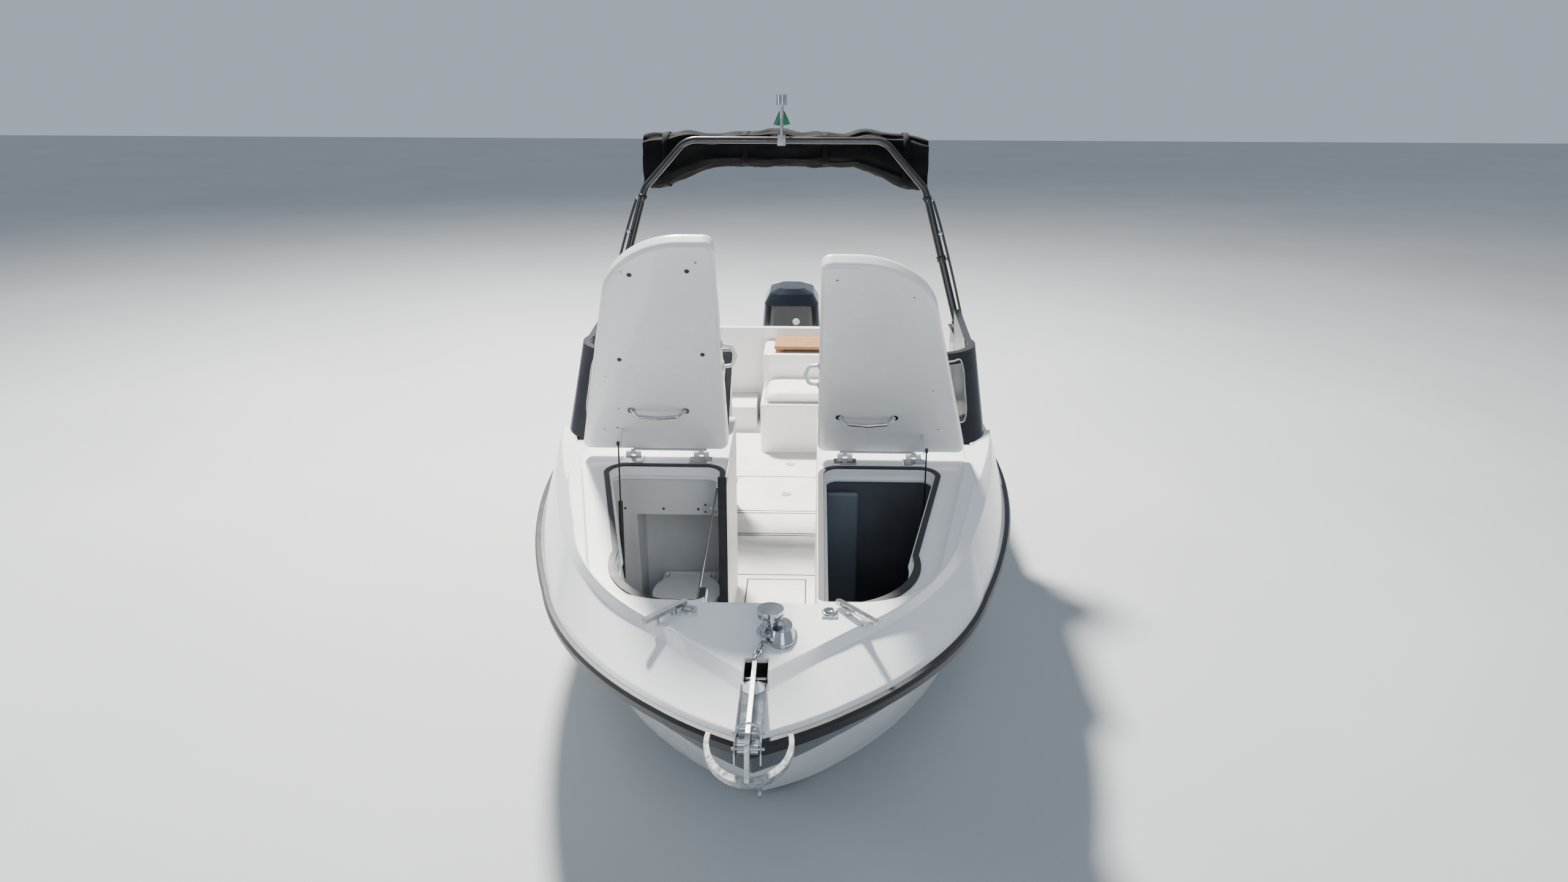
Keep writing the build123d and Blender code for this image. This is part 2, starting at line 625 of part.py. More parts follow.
for side, name in SIDES:
    with BuildPart() as lid:
        add(lid_block(0, side, LID_GAP, LID_GAP + LID_THICK))
        fillet(lid.faces().sort_by(Axis.Z)[-1].edges(), LID_ROUND)
        add(lid_block(-LID_WALL, side, LID_GAP - 1, LID_GAP + LID_THICK - LID_WALL), mode=Mode.SUBTRACT)
    with BuildPart() as lid_liner:
        add(lid_block(-LID_WALL, side, LID_GAP + 4, LID_GAP + 14))

    with BuildPart() as lid_hinge:
        aft_edge = LID_AFT
        add(deck_box(side * 335, side * 705, aft_edge - 2, aft_edge + 4, LID_GAP + 1, LID_GAP + 26))
        for hinge_x in HINGE_X:
            x = side * hinge_x
            add(deck_box(x - 11, x + 11, aft_edge, HINGE_Y, HINGE_LIFT - 4, HINGE_LIFT + 5))
            add(deck_bar(x - 11, x + 11, HINGE_Y, HINGE_LIFT, 9))
            add(deck_bar(x - 38, x + 38, HINGE_Y, HINGE_LIFT, PIN_RADIUS))
    for hinge_x in HINGE_X:
        x = side * hinge_x
        with BuildPart() as leaf:
            add(deck_box(x - 57, x + 57, HINGE_Y - 92, HINGE_Y - 14, 0, 4))
            for k0, k1 in ((-38, -12), (12, 38)):
                add(deck_box(x + k0, x + k1, HINGE_Y - 16, HINGE_Y + 9, 0, HINGE_LIFT))
                add(deck_bar(x + k0, x + k1, HINGE_Y, HINGE_LIFT, 9))
                add(deck_bar(x + k0 - 1, x + k1 + 1, HINGE_Y, HINGE_LIFT, PIN_RADIUS + PIN_GAP),
                    mode=Mode.SUBTRACT)
        foredeck = foredeck + leaf.part

    # grab handle under the lid
    handle_x = GRAB_X[name]
    half = GRAB_LENGTH / 2
    low = LID_GAP + 4
    frame = on_deck(0)
    grab_points = [(handle_x - half, GRAB_Y, low), (handle_x - half + 35, GRAB_Y, low - GRAB_STAND * 0.8),
                   (handle_x, GRAB_Y, low - GRAB_STAND), (handle_x + half - 35, GRAB_Y,
                                                          low - GRAB_STAND * 0.8),
                   (handle_x + half, GRAB_Y, low)]
    with BuildPart() as grab:
        add(swept([frame.from_local_coords(q) for q in grab_points], 9, 24))
        for end in (-half, half):
            foot = frame.from_local_coords((handle_x + end, GRAB_Y, low))
            with BuildSketch(Plane(origin=foot, z_dir=-frame.z_dir)):
                Circle(19)
            extrude(amount=5)
    # handle on the lid's inboard edge
    edge_x = side * LID_IN
    dee_y = DEE_Y[name]
    dee_lift = LID_GAP + 34
    dee_points = [(edge_x, dee_y - 72, dee_lift), (edge_x - side * 46, dee_y - 62, dee_lift),
                  (edge_x - side * 62, dee_y, dee_lift), (edge_x - side * 46, dee_y + 62, dee_lift),
                  (edge_x, dee_y + 72, dee_lift)]
    with BuildPart() as dee:
        add(swept([frame.from_local_coords(q) for q in dee_points], 9, 22))
        for end in (-72, 72):
            foot = frame.from_local_coords((edge_x, dee_y + end, dee_lift))
            with BuildSketch(Plane(origin=foot, z_dir=(-side, 0, 0))):
                Circle(18)
            extrude(amount=5)
    x = side * STRUT_X
    closed_pin = on_deck(-STRUT_DROP).from_local_coords((x, HINGE_Y - STRUT_ARM, 0))
    with BuildPart() as bracket:
        add(deck_box(x - side * 14, x - side * 10, HINGE_Y - STRUT_ARM - 16, HINGE_Y - STRUT_ARM + 16,
                     -STRUT_DROP - 12,
                     LID_GAP + 5))
        add(deck_box(x - side * 14, x + side * 16, HINGE_Y - STRUT_ARM - 16, HINGE_Y - STRUT_ARM + 16,
                     LID_GAP,
                     LID_GAP + 5))
    whole_lid = lid.part + lid_liner.part + lid_hinge.part + bracket.part + dee.part
    save(whole_lid.rotate(hinge_axis, -OPEN_ANGLE[name]), f"{name}_lid")
    save((grab.part - whole_lid).rotate(hinge_axis, -OPEN_ANGLE[name]), f"{name}_grab_handle")

# struts
for side, name in SIDES:
    x = side * STRUT_X
    closed_pin = on_deck(-STRUT_DROP).from_local_coords((x, HINGE_Y - STRUT_ARM, 0))
    high = opened(closed_pin, OPEN_ANGLE[name])
    low = Vector(x, STRUT_LOW_Y, STRUT_LOW_Z)
    along = (high - low).normalized()
    with BuildPart() as barrel:
        add(rod_between(low + along * 8, low + along * BARREL_LENGTH, BARREL_RADIUS))
        add(rod_between(low + Vector(-7, 0, 0), low + Vector(7, 0, 0), 14))
        add(rod_between(low + along * 40, low + along * (BARREL_LENGTH + 1), ROD_RADIUS + 0.6),
            mode=Mode.SUBTRACT)
        add(rod_between(low + Vector(-8, 0, 0), low + Vector(8, 0, 0), PIN_RADIUS + PIN_GAP),
            mode=Mode.SUBTRACT)
    save(barrel.part, f"{name}_strut_barrel")
    with BuildPart() as rod:
        add(rod_between(high - along * ROD_LENGTH, high - along * 8, ROD_RADIUS))
        add(rod_between(high + Vector(-6, 0, 0), high + Vector(6, 0, 0), 12))
        add(rod_between(high - Vector(side * 9.5, 0, 0), high + Vector(side * 9, 0, 0), PIN_RADIUS))
    save(rod.part, f"{name}_strut_rod")


def screen_plan(side, inset, rake):
    """Closed plan of one windscreen's wall; inset thins it and rake moves the front aft."""
    aft = SCREEN_AFT
    outer = [(SCREEN_IN + inset, SCREEN_FRONT + rake), (SCREEN_TURN - 330, SCREEN_FRONT - 36 + rake),
             (SCREEN_TURN - 95, SCREEN_FRONT + 60 + rake), (SCREEN_TURN - rake * 0.05,
                                                            SCREEN_FRONT + 320 + rake),
             (SCREEN_TURN + 34 - rake * 0.05, aft)]
    thick = SCREEN_WALL - inset
    inner = [(outer[0][0], outer[0][1] + thick), (outer[1][0] - 8, outer[1][1] + thick),
             (outer[2][0] - thick * 0.7, outer[2][1] + thick * 0.75), (outer[3][0] - thick, outer[3][1]),
             (outer[4][0] - thick, outer[4][1])]
    if inset:
        shift = inset * 0.5
        outer = [(x - shift * (i > 1), y + shift * (i < 3)) for i, (x, y) in enumerate(outer)]
        inner = [(x + shift * (i > 1), y - shift * (i < 3)) for i, (x, y) in enumerate(inner)]
    o = [(side * x, y) for x, y in outer]
    n = [(side * x, y) for x, y in inner]
    with BuildLine() as line:
        Line(o[0], o[1])
        ThreePointArc(o[1], o[2], o[3])
        Line(o[3], o[4])
        Line(o[4], n[4])
        Line(n[4], n[3])
        ThreePointArc(n[3], n[2], n[1])
        Line(n[1], n[0])
        Line(n[0], o[0])
    return line.wires()[0]


def screen_wall(side, inset, low, high):
    """Raked wall of one windscreen between two heights."""
    with BuildPart() as wall:
        for z, rake in ((low, 0.0), (high, SCREEN_RAKE * (high - low) / (SCREEN_TOP - SCREEN_LOW))):
            with BuildSketch(Plane.XY.offset(z)):
                add(make_face(screen_plan(side, inset, rake)))
        loft(ruled=True)
    return wall.part


# windscreens: black surround and front pane
for side, name in SIDES:
    window = box(side * PANE_IN, side * PANE_OUT, SCREEN_FRONT, SCREEN_FRONT + 1060, PANE_LOW, PANE_HIGH)
    surround = screen_wall(side, 0, SCREEN_LOW, SCREEN_TOP) - deck_envelope - window
    save(surround, f"{name}_windscreen_frame")
    pane = screen_wall(side, SCREEN_WALL - 7, SCREEN_LOW, SCREEN_TOP) & window
    save(pane, f"{name}_windscreen_pane")

# tower: hoop, legs, feet
foot_x, foot_y, foot_z = TOWER_FOOT
hoop_points = [(-foot_x, foot_y, foot_z), (-TOWER_KNUCKLE[0], TOWER_KNUCKLE[1], TOWER_KNUCKLE[2]),
               (-TOWER_SHOULDER, TOWER_TOP_Y, TOWER_TOP_Z), (TOWER_SHOULDER, TOWER_TOP_Y, TOWER_TOP_Z),
               (TOWER_KNUCKLE[0], TOWER_KNUCKLE[1], TOWER_KNUCKLE[2]), (foot_x, foot_y, foot_z)]
tower_hoop = swept(hoop_points, TOWER_TUBE, TOWER_BEND)
tower = tower_hoop
for side, name in SIDES:
    a = Vector(side * (foot_x + 4), REAR_FOOT_Y, foot_z)
    b = Vector(side * (TOWER_KNUCKLE[0] + 6), REAR_TOP_Y, TOWER_KNUCKLE[2] + 20)
    with BuildPart() as rear_leg:
        with BuildSketch(Plane(origin=a, x_dir=(0, 1, 0), z_dir=b - a)):
            RectangleRounded(88, 26, 12)
        extrude(amount=(b - a).length)
        for share in (0.10, 0.50, 0.90):
            mid = a + (b - a) * share
            near = Vector(*hoop_points[5 if side > 0 else 0])
            far = Vector(*hoop_points[4 if side > 0 else 1])
            start = near + (far - near) * share
            gap = (mid - start)
            with BuildSketch(Plane(origin=start + gap.normalized() * (TOWER_TUBE + 0.5), x_dir=(1, 0, 0),
                                   z_dir=gap)):
                RectangleRounded(14, 60, 6)
            extrude(amount=gap.length - TOWER_TUBE)
    tower = tower + rear_leg.part
    with BuildPart() as foot:
        add(box(side * (foot_x - 42), side * (foot_x + 44), foot_y - 62, REAR_FOOT_Y + 62, foot_z - 14,
                foot_z + 4))
        with BuildSketch(Plane.XY.offset(SCREEN_LOW + 40)):
            with Locations((side * (foot_x + 2), (foot_y + REAR_FOOT_Y) / 2)):
                RectangleRounded(70, REAR_FOOT_Y - foot_y + 100, 30)
        extrude(amount=foot_z - 14 - SCREEN_LOW - 40)
        add(deck_envelope, mode=Mode.SUBTRACT)
    tower = tower + foot.part
save(tower, "tower")

# canvas gathered behind the hoop
with BuildPart() as canvas:
    with BuildSketch(Plane.XZ.offset(-CANVAS_FRONT)):
        with BuildLine():
            Line((-CANVAS_HALF, CANVAS_TOP - 20), (CANVAS_HALF, CANVAS_TOP - 20))
            Line((CANVAS_HALF, CANVAS_TOP - 20), (CANVAS_HALF - 20, CANVAS_LOW))
            Line((CANVAS_HALF - 20, CANVAS_LOW), (CANVAS_HALF - 130, CANVAS_LOW))
            ThreePointArc((CANVAS_HALF - 130, CANVAS_LOW), (CANVAS_HALF - 290, CANVAS_LOW + 118),
                          (CANVAS_HALF - 520, CANVAS_LOW + 165))
            Line((CANVAS_HALF - 520, CANVAS_LOW + 165), (520 - CANVAS_HALF, CANVAS_LOW + 165))
            ThreePointArc((520 - CANVAS_HALF, CANVAS_LOW + 165), (290 - CANVAS_HALF, CANVAS_LOW + 118),
                          (130 - CANVAS_HALF, CANVAS_LOW))
            Line((130 - CANVAS_HALF, CANVAS_LOW), (20 - CANVAS_HALF, CANVAS_LOW))
            Line((20 - CANVAS_HALF, CANVAS_LOW), (-CANVAS_HALF, CANVAS_TOP - 20))
        make_face()
    extrude(amount=-CANVAS_DEPTH)
    fillet(canvas.faces().sort_by(Axis.Z)[-1].edges().filter_by(Axis.X), 60)
save(canvas.part - tower, "folded_bimini")


def cowl_level(z, half, front, back, corner):
    """Sketch of the outboard's cowl at one height."""
    with BuildSketch(Plane.XY.offset(z)) as level:
        with Locations((0, COWL_FRONT + (front + back) / 2)):
            RectangleRounded(2 * half, back - front, corner)
    return level.sketch


# outboard: transom bracket
with BuildPart() as motor_bracket:
    for x in (-132, 92):
        add(box(x, x + 40, STERN, STERN + 26, 60, TILT_Z + 30))
        add(box(x, x + 40, STERN - 70, STERN, WELL_FLOOR + 0.5, WELL_FLOOR + 22))
        with BuildSketch(Plane.YZ.offset(x)):
            with Locations((TILT_Y, TILT_Z)):
                Circle(30)
        extrude(amount=40)
        with BuildSketch(Plane.YZ.offset(x - 1)):
            with Locations((TILT_Y, TILT_Z)):
                Circle(TILT_PIN + PIN_GAP)
        extrude(amount=42, mode=Mode.SUBTRACT)
    add(box(-92, 92, STERN, STERN + 22, 60, 150))
save(motor_bracket.part, "motor_bracket")

# swivel that tilts on the bracket
with BuildPart() as swivel:
    with BuildSketch(Plane.YZ.offset(-134)):
        with Locations((TILT_Y, TILT_Z)):
            Circle(TILT_PIN)
    extrude(amount=268)
    with BuildSketch(Plane.YZ.offset(-88)):
        with Locations((TILT_Y, TILT_Z)):
            Circle(27)
    extrude(amount=176)
    add(box(-46, 46, TILT_Y + 8, STEER_Y, 120, TILT_Z + 18))
    with BuildSketch(Plane.XY.offset(120)):
        with Locations((0, STEER_Y)):
            Circle(46)
    extrude(amount=TILT_Z + 18 - 120)
    with BuildSketch(Plane.XY.offset(100)):
        with Locations((0, STEER_Y)):
            Circle(STEER_PIN + PIN_GAP)
    extrude(amount=400, mode=Mode.SUBTRACT)
save(swivel.part, "motor_swivel")

# leg with the steering shaft, plate and gear housing
with BuildPart() as motor_leg:
    with BuildSketch(Plane.XY.offset(70)):
        with Locations((0, STEER_Y)):
            Circle(STEER_PIN)
    extrude(amount=430)
    for z0, z1 in ((TILT_Z + 34, COWL_BASE), (70, 112)):
        add(box(-44, 44, STEER_Y - 40, STEER_Y + 150, z0, z1))
    with BuildSketch(Plane.XY.offset(-40)):
        with Locations((0, STEER_Y + 158)):
            Ellipse(62, 100)
    extrude(amount=COWL_BASE + 40)
    with BuildSketch(Plane.XY.offset(PROP_Z - 10)):
        with Locations((0, STEER_Y + 145)):
            Ellipse(30, 98)
    extrude(amount=-40 - (PROP_Z - 10))
    with BuildSketch(Plane.XY.offset(-112)):
        with Locations((0, STEER_Y + 200)):
            RectangleRounded(230, 420, 90)
    extrude(amount=10)
    with BuildSketch(Plane.XZ.offset(-(STEER_Y - 20))):
        with Locations((0, PROP_Z)):
            Circle(34)
    with BuildSketch(Plane.XZ.offset(-(STEER_Y + 90))):
        with Locations((0, PROP_Z)):
            Circle(62)
    with BuildSketch(Plane.XZ.offset(-(PROP_FRONT - 6))):
        with Locations((0, PROP_Z)):
            Circle(56)
    loft(ruled=True)
    with BuildSketch(Plane.YZ.offset(-9)):
        Polygon((STEER_Y + 40, PROP_Z), (STEER_Y + 200, PROP_Z), (STEER_Y + 170, PROP_Z - 190),
                (STEER_Y + 110, PROP_Z - 190),
                align=None)
    extrude(amount=18)
    with BuildSketch(Plane.XZ.offset(-(PROP_FRONT - 8))):
        with Locations((0, PROP_Z)):
            Circle(SHAFT)
    extrude(amount=-(PROP_LENGTH + 9))
    with BuildSketch(Plane.XZ.offset(-(PROP_FRONT + PROP_LENGTH + 1))):
        with Locations((0, PROP_Z)):
            Circle(24)
    extrude(amount=-16)
save(motor_leg.part, "motor_leg")

# cowl and power head
with BuildPart() as cowl:
    for level in COWL_LEVELS:
        add(cowl_level(*level))
    loft(ruled=True)
    add(box(-COWL_HALF + 95, COWL_HALF - 95, COWL_FRONT + 80, COWL_FRONT + COWL_LENGTH - 140,
            COWL_BASE + 24, COWL_TOP - 170),
        mode=Mode.SUBTRACT)
save(cowl.part, "motor_cowl")
power_head = box(-150, 150, COWL_FRONT + 95, COWL_FRONT + COWL_LENGTH - 155, COWL_BASE + 24.5, COWL_TOP - 210)
save(power_head, "power_head")

# propeller
with BuildPart() as propeller:
    with BuildSketch(Plane.XZ.offset(-PROP_FRONT)):
        with Locations((0, PROP_Z)):
            Circle(52)
    extrude(amount=-PROP_LENGTH)
    for i in range(3):
        blade_frame = Plane(origin=(0, PROP_FRONT + PROP_LENGTH / 2, PROP_Z), x_dir=(1, 0, 0),
                            z_dir=(0, 0, 1))
        with BuildPart(mode=Mode.PRIVATE) as blade:
            with BuildSketch(Plane.XY.offset(40)):
                Rectangle(12, 84)
            with BuildSketch(Plane.XY.offset(118)):
                Rectangle(9, 128)
            with BuildSketch(Plane.XY.offset(PROP_RADIUS)):
                Rectangle(5, 62)
            loft(ruled=True)
        turned = blade.part.rotate(Axis.Z, 52).rotate(Axis.Y, 120 * i)
        add(Pos(0, PROP_FRONT + PROP_LENGTH / 2, PROP_Z) * turned)
    with BuildSketch(Plane.XZ.offset(-(PROP_FRONT - 1))):
        with Locations((0, PROP_Z)):
            Circle(SHAFT + PIN_GAP)
    extrude(amount=-(PROP_LENGTH + 2), mode=Mode.SUBTRACT)
save(propeller.part, "propeller")

# bow roller with its cheeks and rollers
with BuildPart() as bow_roller:
    add(box(-ROLLER_HALF, ROLLER_HALF, ROLLER_FRONT, ROLLER_AFT, DECK_NOSE_Z + 6, DECK_NOSE_Z + 14))
    add(box(-ROLLER_HALF, ROLLER_HALF, ROLLER_AFT - 160, ROLLER_AFT, DECK_NOSE_Z - 40, DECK_NOSE_Z + 8))
    for side in (-1, 1):
        with BuildSketch(Plane.YZ.offset(side * (ROLLER_HALF - 5))):
            Polygon((ROLLER_AFT, DECK_NOSE_Z + 6), (ROLLER_AFT, DECK_NOSE_Z + 26),
                    (ROLLER_FRONT + 150, DECK_NOSE_Z + 34),
                    (ROLLER_FRONT - 10, DECK_NOSE_Z + 40), (ROLLER_FRONT - 40, DECK_NOSE_Z + 10),
                    (ROLLER_FRONT - 40, DECK_NOSE_Z - 34), (ROLLER_FRONT + 20, DECK_NOSE_Z - 34),
                    (ROLLER_FRONT + 60, DECK_NOSE_Z + 6), align=None)
        extrude(amount=side * 5)
    for y, z in ROLLER_PINS:
        add(rod_between((-ROLLER_HALF - 9, y, DECK_NOSE_Z + z), (ROLLER_HALF + 9, y, DECK_NOSE_Z + z), 5))
    for y, z in ROLLER_PINS:
        add(rod_between((-34, y, DECK_NOSE_Z + z), (34, y, DECK_NOSE_Z + z), ROLLER_RADIUS))
    add(deck_envelope, mode=Mode.SUBTRACT)
save(bow_roller.part - foredeck, "bow_roller")

# anchor: shank over the rollers and a claw below them
with BuildPart() as anchor:
    with BuildSketch(Plane.YZ.offset(-SHANK_HALF)):
        Polygon((ANCHOR_EYE, SHANK_Z), (ANCHOR_EYE, SHANK_Z + 34), (ROLLER_FRONT - 20, SHANK_Z + 34),
                (ROLLER_FRONT - 72, SHANK_Z), (CLAW_Y - 16, CLAW_Z + 34), (CLAW_Y, CLAW_Z + 4),
                (CLAW_Y + 22, CLAW_Z + 14), (ROLLER_FRONT - 42, SHANK_Z - 34), (ROLLER_FRONT - 10, SHANK_Z),
                align=None)
    extrude(amount=2 * SHANK_HALF)
    with BuildSketch(Plane((0, CLAW_Y, CLAW_Z), x_dir=(1, 0, 0), z_dir=(0, -CLAW_TILT, 1))):
        with BuildLine():
            ThreePointArc((-CLAW_HALF, CLAW_REACH), (0, 0), (CLAW_HALF, CLAW_REACH))
            Line((CLAW_HALF, CLAW_REACH), (CLAW_HALF - CLAW_ARM, CLAW_REACH))
            ThreePointArc((CLAW_HALF - CLAW_ARM, CLAW_REACH), (0, CLAW_ARM * 1.4),
                          (CLAW_ARM - CLAW_HALF, CLAW_REACH))
            Line((CLAW_ARM - CLAW_HALF, CLAW_REACH), (-CLAW_HALF, CLAW_REACH))
        make_face()
    extrude(amount=CLAW_THICK)
save(anchor.part, "anchor")

# windlass: drum to starboard of its rounded motor housing
with BuildPart() as windlass_base:
    with BuildSketch(Plane.XY.offset(WINDLASS_Z - 30)):
        with Locations((WINDLASS_X, WINDLASS_Y)):
            Circle(52)
        with Locations((WINDLASS_X + 42, WINDLASS_Y - 30)):
            Ellipse(58, 84)
    extrude(amount=44)
    with BuildSketch(Plane.XY.offset(WINDLASS_Z + 14)):
        with Locations((WINDLASS_X + 42, WINDLASS_Y - 30)):
            Ellipse(54, 80)
    with BuildSketch(Plane.XY.offset(WINDLASS_Z + 52)):
        with Locations((WINDLASS_X + 42, WINDLASS_Y - 26)):
            Ellipse(40, 60)
    loft(ruled=True)
    add(deck_envelope, mode=Mode.SUBTRACT)
    for z, r, h in ((13, 40, 20), (32, 30, 40), (70, 48, 8), (77, 40, 18), (94, 50, 12)):
        with BuildSketch(Plane.XY.offset(WINDLASS_Z + z)):
            with Locations((WINDLASS_X, WINDLASS_Y)):
                Circle(r)
        extrude(amount=h)
save(windlass_base.part - foredeck, "windlass")

# cleats: name, x, y, turn
for name, x, y, turn, floor in CLEATS:
    with BuildPart() as cleat:
        for end in (-45, 45):
            with BuildSketch(Plane.XY):
                with Locations((0, end)):
                    Circle(13)
            extrude(amount=30)
        with BuildSketch(Plane.XY.offset(30)):
            SlotOverall(230, 26, rotation=90)
        extrude(amount=16)
    placed = Pos(x, y, floor(y)) * Rot(0, 0, turn) * cleat.part
    save(placed - deck_envelope, name)

# deck foot buttons, then the whole deck
for side, name in SIDES:
    foredeck = foredeck + deck_box(side * 270 - 30, side * 270 + 30, -2675, -2615, RIM - 1, RIM + 8)
save(foredeck, "foredeck")
save(aft_deck, "aft_deck")

# helm dash, wheel and throttle to starboard
with BuildPart() as helm_dash:
    with BuildSketch(Plane.YZ.offset(-HELM_X - DASH_HALF)):
        Polygon((DASH_FRONT, DASH_LOW), (DASH_FRONT, DASH_TOP), (DASH_FRONT + 90, DASH_TOP),
                (DASH_BACK, DASH_TOP - 150),
                (DASH_BACK - 40, DASH_LOW), align=None)
    extrude(amount=2 * DASH_HALF)
wheel_dir = Vector(0, cos(radians(WHEEL_TILT)), sin(radians(WHEEL_TILT)))
wheel_root = Vector(-HELM_X, DASH_BACK - 20, DASH_TOP - 235)
wheel_hub = wheel_root + wheel_dir * 95
with BuildPart() as wheel_column:
    add(rod_between(wheel_root - wheel_dir * 30, wheel_root + wheel_dir * 52, 30))
    add(rod_between(wheel_root + wheel_dir * 40, wheel_root + wheel_dir * 112, 8))
with BuildPart() as steering_wheel:
    with BuildSketch(Plane(origin=wheel_hub, x_dir=(1, 0, 0), z_dir=wheel_dir)):
        Circle(WHEEL_RADIUS + 14)
        Circle(WHEEL_RADIUS - 14, mode=Mode.SUBTRACT)
    extrude(amount=12, both=True)
    with BuildSketch(Plane(origin=wheel_hub, x_dir=(1, 0, 0), z_dir=wheel_dir)):
        Circle(36)
        for turn in (90, 210, 330):
            with Locations(Rot(0, 0, turn) * Pos(WHEEL_RADIUS / 2, 0)):
                Rectangle(WHEEL_RADIUS - 10, 24)
    extrude(amount=6, both=True)
    with BuildSketch(Plane(origin=wheel_hub - wheel_dir * 20, x_dir=(1, 0, 0), z_dir=wheel_dir)):
        Circle(24)
    extrude(amount=40)
    with BuildSketch(Plane(origin=wheel_hub - wheel_dir * 40, x_dir=(1, 0, 0), z_dir=wheel_dir)):
        Circle(8 + PIN_GAP)
    extrude(amount=80, mode=Mode.SUBTRACT)
save(steering_wheel.part, "steering_wheel")
with BuildPart() as throttle:
    add(box(-HELM_X + 255, -HELM_X + 315, DASH_BACK - 150, DASH_BACK - 20, DASH_TOP - 149, DASH_TOP - 60))
    add(rod_between((-HELM_X + 285, DASH_BACK - 70, DASH_TOP - 70),
                    (-HELM_X + 285, DASH_BACK - 50, DASH_TOP + 60), 9))
    add(rod_between((-HELM_X + 262, DASH_BACK - 50, DASH_TOP + 64),
                    (-HELM_X + 308, DASH_BACK - 50, DASH_TOP + 64), 15))
helm = helm_dash.part + wheel_column.part + throttle.part
save(helm, "helm_dash")
# seats: name, x range, y range, base height, cushion thickness, back thickness
for name, x0, x1, y0, y1, base_top, pad, back in SEATS:
    with BuildPart() as seat:
        add(box(x0, x1, y0, y1, SOLE_TOP, base_top))
        fillet(seat.edges().filter_by(Axis.Z), 60)
        fillet(seat.faces().sort_by(Axis.Z)[-1].edges(), 14)
        if back:
            add(box(x0 + 12, x1 - 12, y1 - back - 20, y1 - 8, base_top - 16, base_top + 430))
    if name == "aft_bench":
        bench_base = seat.part
    else:
        save(seat.part, f"{name}_base")
    with BuildPart() as cushion:
        add(box(x0 + 20, x1 - 20, y0 + 16, y1 - back - (21 if back else 16), base_top + 0.5, base_top + pad))
        fillet(cushion.edges().filter_by(Axis.Z), 50)
        fillet(cushion.faces().sort_by(Axis.Z)[-1].edges(), 20)
    save(cushion.part, f"{name}_cushion")

# aft module to port with the bench, and its top table
with BuildPart() as aft_module:
    add(box(MODULE_IN, COCKPIT_HALF - 0.5, MODULE_FRONT, COCKPIT_END - 0.5, SOLE_TOP, MODULE_TOP))
    fillet(aft_module.edges().filter_by(Axis.Z).sort_by(Axis.X)[:2], 70)
    fillet(aft_module.faces().sort_by(Axis.Z)[-1].edges().filter_by(Axis.X), 18)
module = aft_module.part + bench_base
save(module, "aft_module")
teak_table = box(TABLE_IN, TABLE_OUT, TABLE_FRONT, TABLE_BACK, MODULE_TOP + 26, MODULE_TOP + 50)
with BuildPart() as table_mount:
    for x in (TABLE_IN + 60, TABLE_OUT - 60):
        add(box(x - 14, x + 14, TABLE_FRONT + 40, TABLE_BACK - 40, MODULE_TOP + 0.5, MODULE_TOP + 26))
    add(box(TABLE_IN + 60, TABLE_OUT - 60, TABLE_FRONT + 90, TABLE_FRONT + 120, MODULE_TOP + 6,
            MODULE_TOP + 20))
table = teak_table + table_mount.part
save(table, "teak_table")

# toilet in the starboard compartment
with BuildPart() as toilet:
    with BuildSketch(Plane.XY.offset(COMPARTMENT_Z + 18)):
        with Locations((TOILET_X, TOILET_Y)):
            Ellipse(115, 160)
    with BuildSketch(Plane.XY.offset(TOILET_TOP)):
        with Locations((TOILET_X, TOILET_Y)):
            Ellipse(168, 200)
    loft(ruled=True)
    add(box(TOILET_X - 150, TOILET_X + 150, TOILET_Y + 150, TOILET_Y + 290, COMPARTMENT_Z + 18, TOILET_TOP))
    for side in (-1, 1):
        x = TOILET_X + side * 122
        add(box(x - 8, x + 8, TOILET_HINGE_Y - 12, TOILET_HINGE_Y + 12, TOILET_TOP - 1, TOILET_HINGE_Z))
        add(rod_between((x - 8, TOILET_HINGE_Y, TOILET_HINGE_Z), (x + 8, TOILET_HINGE_Y, TOILET_HINGE_Z), 12))
        add(rod_between((x - 9, TOILET_HINGE_Y, TOILET_HINGE_Z), (x + 9, TOILET_HINGE_Y, TOILET_HINGE_Z),
                        PIN_RADIUS + PIN_GAP), mode=Mode.SUBTRACT)
save(toilet.part, "toilet")
with BuildPart() as toilet_lid:
    with BuildSketch(Plane.XY.offset(TOILET_TOP + 1)):
        with Locations((TOILET_X, TOILET_Y - 4)):
            Ellipse(176, 206)
        with Locations((TOILET_X, TOILET_Y + 120)):
            Rectangle(220, 160)
    extrude(amount=28)
    add(rod_between((TOILET_X - 110, TOILET_HINGE_Y, TOILET_HINGE_Z),
                    (TOILET_X + 110, TOILET_HINGE_Y, TOILET_HINGE_Z), 12))
    add(rod_between((TOILET_X - 132, TOILET_HINGE_Y, TOILET_HINGE_Z),
                    (TOILET_X + 132, TOILET_HINGE_Y, TOILET_HINGE_Z),
                    PIN_RADIUS))
save(toilet_lid.part, "toilet_lid")

